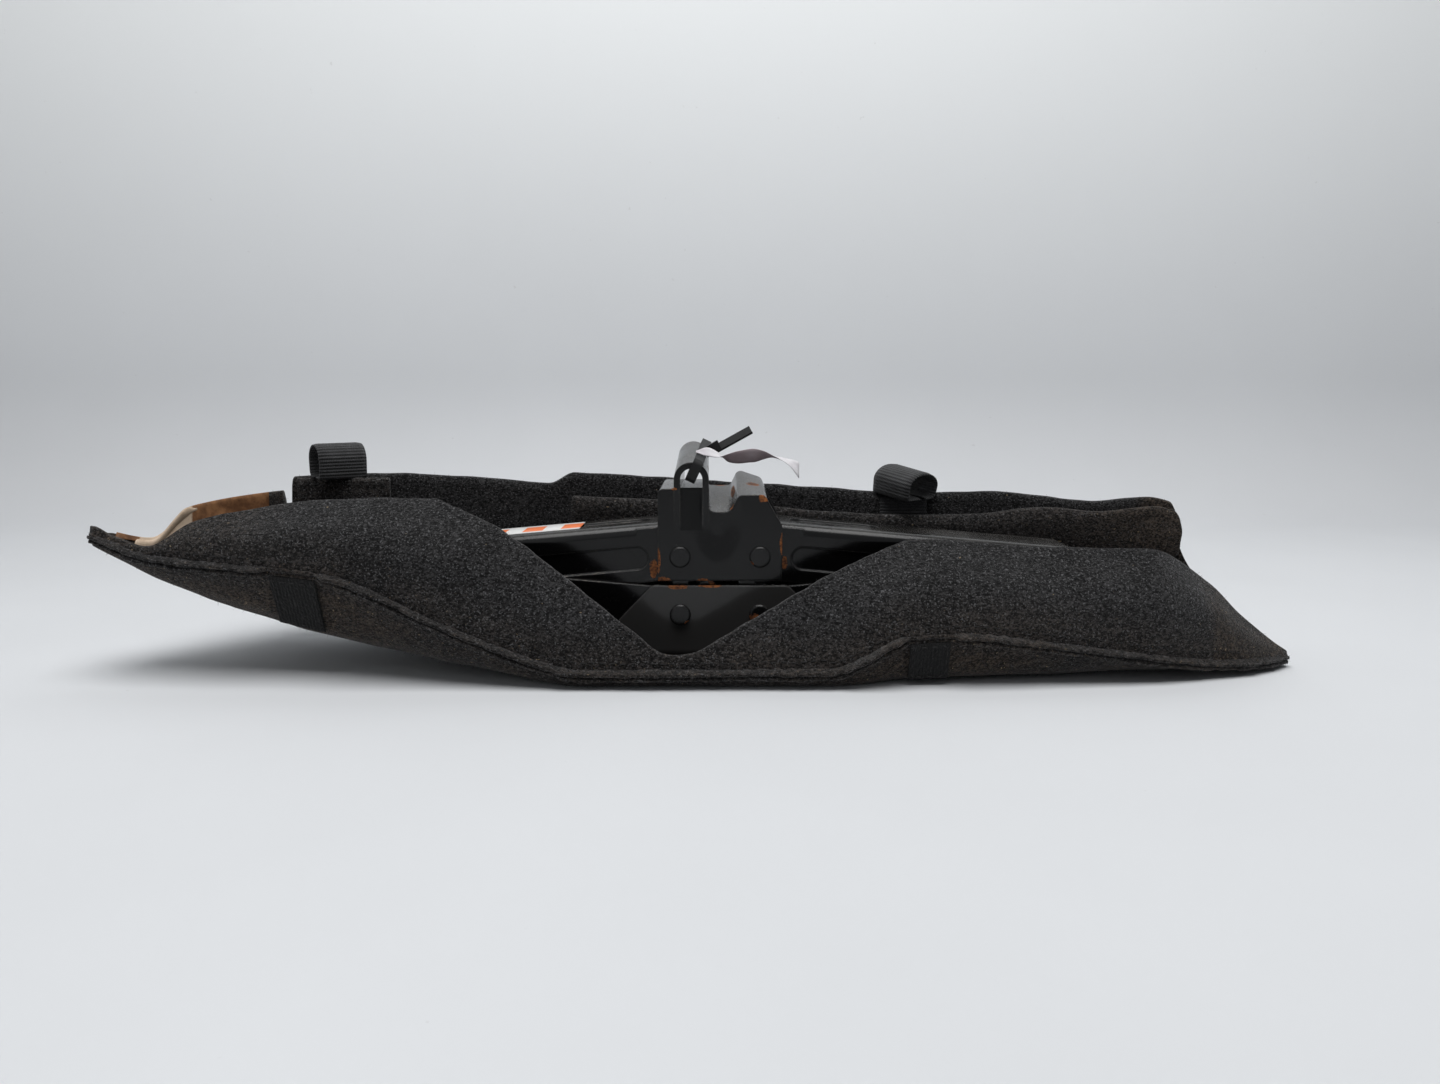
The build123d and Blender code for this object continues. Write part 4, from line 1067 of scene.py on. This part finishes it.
class JACK_OT_felt_bag(bpy.types.Operator):
    """Makes the bag's body, its notched front panel and the raw edges of its front seam."""

    bl_idname = "jack.felt_bag"
    bl_label = "Felt bag"

    def execute(self, context):
        places = stations(BAG_LEFT, -236.0, 2.2) + stations(-235.0, -227.0, 0.5)
        places += stations(-226.0, 240.0, 2.2) + stations(241.0, BAG_RIGHT, 1.0)
        layers = [layer_loop(x, body_line(x), 1, felt_at(x), body_lift) for x in places]
        body = felt_piece("felt_body", layers, felt_soil, ["bag_body"])
        layers = [layer_loop(x, panel_line(x), -1, felt_at(x), panel_lift) for x in places]
        panel = felt_piece("felt_front_panel", layers, felt_soil, ["bag_front_panel"])
        for name, side in (("seam_edge_upper", 1), ("seam_edge_lower", -1)):
            loops = [self.raw_edge(x, side) for x in stations(BAG_LEFT, BAG_RIGHT, 1.1)]
            felt_piece(name, loops, lambda place: 0.45 + 0.4 * ripple(place.x, place.z, 16.0, 5.5))
        return {"FINISHED"}

    def raw_edge(self, x, side):
        """A loop round one raw edge, which stands out from the seam."""
        seam = Vector(read_body(x)[:2])
        out = Vector((-0.93, -0.37)).normalized()
        up = Vector((out.y, -out.x)) * side
        bare = 1.0
        for start, end, _, _ in HOOK_PATCHES.values():
            bare = min(bare, max(ramp(x, end, end + 5.0), 1.0 - ramp(x, start - 5.0, start)))
        ends = ramp(x, BAG_LEFT, -270.0) * (1.0 - ramp(x, 262.0, BAG_RIGHT))
        frayed = 0.8 * ripple(x, side * 40.0, 11.0, 3.3) + 0.9 * ripple(x, side * 20.0, 2.6, 7.7)
        reach = (3.6 + frayed) * (0.15 + 0.85 * bare) * (0.3 + 0.7 * ends)
        parted = 0.15 + 0.9 * abs(ripple(x, side * 70.0, 22.0, 6.1))
        thick = 1.8 + 0.6 * ripple(x, side * 10.0, 3.4, 1.9)
        base = seam - out * 1.5 + up * 0.1
        tip = seam + out * reach + up * parted
        rim = [tip - out * 0.7, tip + up * 0.45, tip + up * (thick - 0.5), tip - out * 0.8 + up * thick]
        under, over = base.lerp(rim[0], 0.6), base.lerp(rim[3], 0.6)
        return at_x(x, [base, under, *rim, over, base + up * thick])


class JACK_OT_lid_roll(bpy.types.Operator):
    """Rolls the bag's lid down inside the back wall."""

    bl_idname = "jack.lid_roll"
    bl_label = "Rolled lid"

    def execute(self, context):
        places = stations(ROLL_LEFT, 228.0, 2.6) + stations(229.0, ROLL_RIGHT, 1.0)
        loops = [self.roll_loop(x) for x in places]
        piece = felt_piece("felt_lid_roll", loops, self.soil, ["bag_flap_roll"])
        return {"FINISHED"}

    def soil(self, place):
        """The roll's right end is the dirtier one."""
        return 0.25 + 0.5 * ramp(place.x, 150.0, 240.0)

    def roll_loop(self, x):
        """A loop round the rolled felt, with long soft folds and lumpy ends."""
        wall_top = read_body(min(x, 240.0))[6]
        top, foot = wall_top - 0.3, wall_top - 33.0
        drop = 7.0 * (1.0 - ramp(x, 140.0, 185.0)) + 1.2 * ripple(x, 3.0, 36.0, 9.4)
        middle = Vector((37.8, (top - drop + foot) / 2))
        tall = (top - drop - foot) / 2 - 1.5
        inner = ramp(x, ROLL_LEFT, -70.0) * (1.0 - ramp(x, 234.0, ROLL_RIGHT))
        puff = 0.75 + 0.25 * inner + 0.06 * ripple(x, 11.0, 30.0, 4.7)
        line = []
        for step in range(73):
            turn = 1.5 * step / 72
            angle = radians(-60.0) + turn * 2 * pi
            across, rise = cos(angle), sin(angle)
            wide = (4.9 - 2.95 * turn) * puff * abs(across) ** 0.8
            high = (tall - 3.1 * turn) * abs(rise) ** 0.75
            bend = Vector((wide if across > 0 else -wide, high if rise > 0 else -high))
            fold = 1.5 * ripple(0.3 * x, 1.5 * bend.y, 17.0, 21.0)
            wave = 0.7 * ripple(x, bend.y, 26.0, 12.0 + turn)
            line.append(middle + bend * (1.0 + 0.03 * wave) + Vector((fold, 0.6 * wave)))
        loop = layer_loop(x, spread(line, 80), 1, 2.7)
        for point in loop:
            height = (point.z / MM - middle.y) / tall
            lump = 2.5 * ripple(0.0, point.z / MM, 9.0, 3.4) - 5.0 * height**4
            point.x += (1.0 - inner) * lump * MM * (1 if x > 0 else -0.5)
        return loop


class JACK_OT_webbing_loops(bpy.types.Operator):
    """Makes the two webbing loops and the felt strip over the left one's end."""

    bl_idname = "jack.webbing_loops"
    bl_label = "Webbing loops"

    def execute(self, context):
        finish = woven_webbing("ribbed_webbing", tuple(context.scene.bag_felt.webbing))
        for name, sizes in LOOPS.items():
            mesh = self.webbing_loop(f"webbing_loop_{name}", *sizes)
            new_piece(f"webbing_loop_{name}", mesh, finish, "bag", [f"strap_loop_{name}"])
        low, high = (Vector(p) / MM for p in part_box("strap_patch"))
        back = high.y - 0.1
        loops = []
        for x in stations(low.x, high.x, 1.6):
            top = high.z + 0.5 * ripple(x, 1.0, 12.0, 2.0)
            foot = low.z + 0.6 * ripple(x, 2.0, 10.0, 7.0)
            line = [Vector((back, foot + (top - foot) * k / 8)) for k in range(9)]
            loops.append(layer_loop(x, line, 1, 2.8, crinkle(0.5, 15.0, 3.0)))
        piece = felt_piece("felt_loop_strip", loops, lambda place: 0.3, ["strap_patch"])
        return {"FINISHED"}

    def loop_line(self, deep, tall):
        """The webbing's middle seen from its side: up from its sewn end, over the loop and back down."""
        deep, tall = deep - WEBBING / 2, tall - WEBBING
        spring = min(deep, tall / 2)
        arch = [radians(180.0 * k / 24) for k in range(25)]
        arch = [Vector((deep * cos(a), tall - spring + spring * sin(a))) for a in arch]
        foot = [Vector((0.0, -LOOP_LEG)), Vector((0.0, 0.0)), Vector((0.94 * deep, 0.9))]
        close = [Vector((-0.94 * deep, 0.2)), Vector((-1.2, 0.4))]
        rising = soft_line(foot + arch[:1], 4.0, (8, 4, 5), 5)
        return spread(rising + arch[1:] + close, 90)

    def webbing_loop(self, name, x, deep, tall, turn, lean):
        """A loop of webbing that turns about the upright above its sewn end, and leans along its width."""
        ends = [read_body(x + side * LOOP_WIDTH / 2)[6] for side in (-1, 1)]
        home = Vector((x, BAG_BACK - FELT - 0.3 - WEBBING / 2, min(ends) - 0.6 + WEBBING / 2))
        line = self.loop_line(deep, tall)
        across = [LOOP_WIDTH * (k / 10 - 0.5) for k in range(11)]
        loops, runs = [], []
        for k, (point, left) in enumerate(zip(line, lefts(line))):
            runs.append(runs[-1] + (point - line[k - 1]).length if k else 0.0)
            normal = left * WEBBING / 2
            free = ramp(point.y, -2.0, 0.5)
            yaw = Matrix.Rotation(radians(turn) * free, 3, "Z")
            spin = yaw @ Matrix.Rotation(radians(lean) * free, 3, "Y")
            loop = []
            for side, places in ((-1, across), (1, across[::-1])):
                for a in places:
                    thin = side * (0.45 if abs(a) > 0.49 * LOOP_WIDTH else 1.0)
                    spot = Vector((a, point.x + thin * normal.x, point.y + thin * normal.y))
                    loop.append((home + spin @ spot) * MM)
            loops.append(loop)
        mesh = skin(name, loops)
        weave_map(mesh, runs, across + across[::-1])
        return mesh


class JACK_OT_hook_patches(bpy.types.Operator):
    """Makes the hook-tape patches below the front seam."""

    bl_idname = "jack.hook_patches"
    bl_label = "Hook-tape patches"

    def execute(self, context):
        finish = hook_tape("worn_hook_tape", (0.006, 0.006, 0.0062))
        for name, (start, end, top, foot) in HOOK_PATCHES.items():
            loops = []
            for x in stations(start, end, 1.0):
                line = [under_seam(x, top + (foot - top) * k / 16, 1.7) for k in range(17)]
                loops.append(layer_loop(x, line, 1, 1.3, self.pile))
            mesh = skin(f"hook_tape_{name}", loops)
            new_piece(f"hook_tape_{name}", mesh, finish, "bag", [f"hook_patch_{name}"])
        return {"FINISHED"}

    def pile(self, x, point, normal, share):
        """The uneven lie of the hooks."""
        return 0.15 * ripple(x, point.y, 4.0, 1.0)


class JACK_OT_mouth_tape(bpy.types.Operator):
    """Lays the brittle brown tape inside the bag's left mouth."""

    bl_idname = "jack.mouth_tape"
    bl_label = "Mouth tape"

    def execute(self, context):
        loops = []
        for x in stations(-285.0, -238.0, 1.2):
            line = body_line(x)[-14:]
            depth = min(13.0, 0.75 * (line[-1] - line[0]).length) + 1.5 * ripple(x, 5.0, 8.0, 2.2)
            line = spread(line, 40)
            length = (line[-1] - line[0]).length
            keep = max(0, int(39 - 39 * depth / max(length, 1e-6)))
            line = spread(line[keep:] + [line[-1] + (line[-1] - line[-2]).normalized() * 0.9], 9)
            shifted = []
            for point, left in zip(line, lefts(line)):
                out = FELT + 0.5 + 0.5 * abs(ripple(x, point.y, 9.0, 4.0))
                shifted.append(point + left * out)
            loops.append(layer_loop(x, shifted, 1, 0.35, crinkle(0.4, 6.0, 8.0)))
        mesh = skin("aged_mouth_tape", loops)
        mark(mesh, "age", self.age)
        finish = aged_tape("aged_tape")
        new_piece("aged_mouth_tape", mesh, finish, "bag")
        curl = skin("tape_curl", [self.curl(x) for x in stations(-279.0, -260.0, 0.6)])
        mark(curl, "age", lambda place: 0.12)
        new_piece("tape_curl", curl, finish, "bag")
        return {"FINISHED"}

    def age(self, place):
        """1 where the tape is brown, at its two ends, and 0 where it is bleached."""
        return max(ramp(place.x, -264.0, -259.0), 1.0 - ramp(place.x, -281.0, -276.0))

    def curl(self, x):
        """A loop round the tape's bleached edge, rolled over the felt, with a tongue at its left."""
        floor, _, *top = read_body(x)[3:]
        top = Vector(top)
        radius = (2.7 + 0.5 * ripple(x, 1.0, 5.0, 3.0)) * (0.35 + 0.65 * (1.0 - ramp(x, -264.0, -260.0)))
        middle = top + Vector((-FELT - 0.4, -0.6))
        tail = max(0.0, top.y - floor - 2 * FELT) * (1.0 - ramp(x, -277.0, -272.0))
        turns = [radians(a) for a in range(40, 251, 15)]
        line = [middle + Vector((cos(a), sin(a))) * radius for a in turns]
        line += [line[-1] + Vector((-0.12, -1.0)) * tail * k / 6 for k in range(1, 7)]
        return layer_loop(x, spread(line, 24), 1, 0.45)


class JACK_OT_stitching(bpy.types.Operator):
    """Sews the seam, the patches and the loop strip with a Geometry Nodes tree."""

    bl_idname = "jack.stitching"
    bl_label = "Stitching"

    def execute(self, context):
        look = context.scene.bag_felt
        finish = plain_thread("black_thread", (0.008, 0.0075, 0.0075))
        lines = []
        seam = []
        for x in stations(-272.0, 262.0, 3.0):
            line = panel_line(x)
            rise = next((p for p in line if (p - line[0]).length > 4.5), line[-1])
            run = (rise - line[0]).normalized()
            seam.append(Vector((x, rise.x - run.y * 0.25, rise.y + run.x * 0.25)) * MM)
        lines.append(seam)
        for start, end, top, foot in HOOK_PATCHES.values():
            box = []
            for x, share in ((start, top), (end, top), (end, foot), (start, foot), (start, top)):
                inset = 1.3 if x == start else -1.3
                down = 0.05 if share == top else -0.05
                spot = under_seam(x + inset, share + down, 1.85)
                box.append(Vector((x + inset, spot.x, spot.y)) * MM)
            lines.append(box)
        low, high = (Vector(p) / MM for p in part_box("strap_patch"))
        front = low.y - 0.3
        left, right, foot, top = low.x + 3, high.x - 3, low.z + 2.5, high.z - 2.5
        inside = [(left, foot), (right, foot), (right, top), (left, top), (left, foot)]
        lines.append([Vector((x, front, z)) * MM for x, z in inside])
        path = path_object("stitch_lines", lines)
        sizes = {"Spacing": look.stitch, "Length": look.stitch * 0.62, "Thread": 0.0006}
        mesh = grown(stitch_tree(finish), path, sizes)
        bpy.data.objects.remove(path)
        new_piece("thread_stitches", mesh, finish, "bag")
        return {"FINISHED"}


class JACK_OT_loose_fibres(bpy.types.Operator):
    """Raises loose fibres on the felt with a Geometry Nodes tree."""

    bl_idname = "jack.loose_fibres"
    bl_label = "Loose fibres"

    def execute(self, context):
        look = context.scene.bag_felt
        finish = plain_thread("pale_fibre", (0.02, 0.0195, 0.0195))
        tree = fibre_tree(finish)
        fuzz = {"felt_body": 1.0, "felt_front_panel": 1.0, "felt_lid_roll": 1.2}
        fuzz.update({"seam_edge_upper": 5.0, "seam_edge_lower": 5.0})
        for seed, (name, share) in enumerate(fuzz.items()):
            sizes = {"Density": look.fibres * share, "Length": look.fibre_length, "Seed": look.seed + seed}
            mesh = grown(tree, bpy.data.objects[name], sizes)
            new_piece(f"fibres_{name}", mesh, finish, "bag")
        return {"FINISHED"}


class JACK_OT_stage(bpy.types.Operator):
    """Sets the pale sweep, the soft light and the camera."""

    bl_idname = "jack.stage"
    bl_label = "Stage"

    def execute(self, context):
        look = context.scene.studio_stage
        line = [(SWEEP_FRONT, 0.0), (SWEEP_BEND, 0.0)]
        for turn in range(9, 91, 9):
            across, rise = sin(radians(turn)), 1.0 - cos(radians(turn))
            line.append((SWEEP_BEND + SWEEP_RADIUS * across, SWEEP_RADIUS * rise))
        line.append((SWEEP_BEND + SWEEP_RADIUS, SWEEP_TOP))
        points = [(x, y, z) for x in (-SWEEP_HALF, SWEEP_HALF) for y, z in line]
        count = len(line)
        faces = [(k, k + 1, count + k + 1, count + k) for k in range(count - 1)]
        mesh = bpy.data.meshes.new("paper_sweep")
        mesh.from_pydata(points, [], [face[::-1] for face in faces])
        mesh.polygons.foreach_set("use_smooth", [True] * len(mesh.polygons))
        mesh.materials.append(pale_paper("sweep_paper", tuple(look.paper)))
        linked("paper_sweep", mesh)
        for name, place, aim, size, power in (
            ("top_lamp", (0.0, -0.3, 1.5), (0.0, 0.05, 0.0), 1.1, look.lamp),
            ("front_lamp", (-0.7, -1.5, 0.9), (0.0, 0.0, 0.05), 1.2, look.lamp * 0.06),
        ):
            lamp = bpy.data.lights.new(name, "AREA")
            lamp.shape = "SQUARE"
            lamp.size = size
            lamp.energy = power
            light = linked(name, lamp)
            light.location = place
            light.rotation_euler = (Vector(aim) - Vector(place)).to_track_quat("-Z", "Y").to_euler()
        world = bpy.data.worlds.new("even_light")
        world.use_nodes = True
        sky = world.node_tree.nodes["Background"]
        sky.inputs["Color"].default_value = (0.93, 0.96, 1.0, 1.0)
        wire = Wire(world.node_tree)
        seen = wire.node("ShaderNodeLightPath", output="Is Camera Ray")
        for kind in ("Is Glossy Ray", "Is Transmission Ray"):
            seen = seen.most(wire.node("ShaderNodeLightPath", output=kind))
        strength = seen * (look.backdrop - look.sky) + look.sky
        world.node_tree.links.new(strength.socket, sky.inputs["Strength"])
        context.scene.world = world
        lens = bpy.data.cameras.new("photo_camera")
        lens.sensor_width = 36.0
        lens.lens = CAMERA_LENS
        lens.clip_start = 0.01
        camera = linked("photo_camera", lens)
        camera.location = CAMERA_PLACE
        camera.rotation_euler = Euler((radians(90 - CAMERA_DIP), 0.0, 0.0))
        context.scene.camera = camera
        context.scene.view_settings.view_transform = "Standard"
        return {"FINISHED"}


class JACK_PT_pieces(bpy.types.Panel):
    """Lists the jack's and the bag's pieces."""

    bl_idname = "JACK_PT_pieces"
    bl_label = "Jack and bag"
    bl_space_type = "VIEW_3D"
    bl_region_type = "UI"
    bl_category = "Jack"

    def draw(self, context):
        for group in (context.scene.jack_paint, context.scene.bag_felt, context.scene.studio_stage):
            for name in group.__annotations__:
                self.layout.prop(group, name)
        for operator in PIECES:
            self.layout.operator(operator.bl_idname)


PIECES = (
    JACK_OT_stage,
    JACK_OT_painted_steel,
    JACK_OT_bare_steel,
    JACK_OT_lead_screw,
    JACK_OT_tie_and_slip,
    JACK_OT_arm_label,
    JACK_OT_felt_bag,
    JACK_OT_lid_roll,
    JACK_OT_webbing_loops,
    JACK_OT_hook_patches,
    JACK_OT_mouth_tape,
    JACK_OT_stitching,
    JACK_OT_loose_fibres,
)
GROUPS = {"jack_paint": JackPaint, "bag_felt": BagFelt, "studio_stage": StudioStage}


def register():
    for name, group in GROUPS.items():
        bpy.utils.register_class(group)
        setattr(bpy.types.Scene, name, PointerProperty(type=group))
    for piece in PIECES:
        bpy.utils.register_class(piece)
    bpy.utils.register_class(JACK_PT_pieces)


def unregister():
    bpy.utils.unregister_class(JACK_PT_pieces)
    for piece in reversed(PIECES):
        bpy.utils.unregister_class(piece)
    for name, group in GROUPS.items():
        delattr(bpy.types.Scene, name)
        bpy.utils.unregister_class(group)


def main():
    register()
    for piece in PIECES:
        family, name = piece.bl_idname.split(".")
        getattr(getattr(bpy.ops, family), name)()


if __name__ == "__main__":
    main()
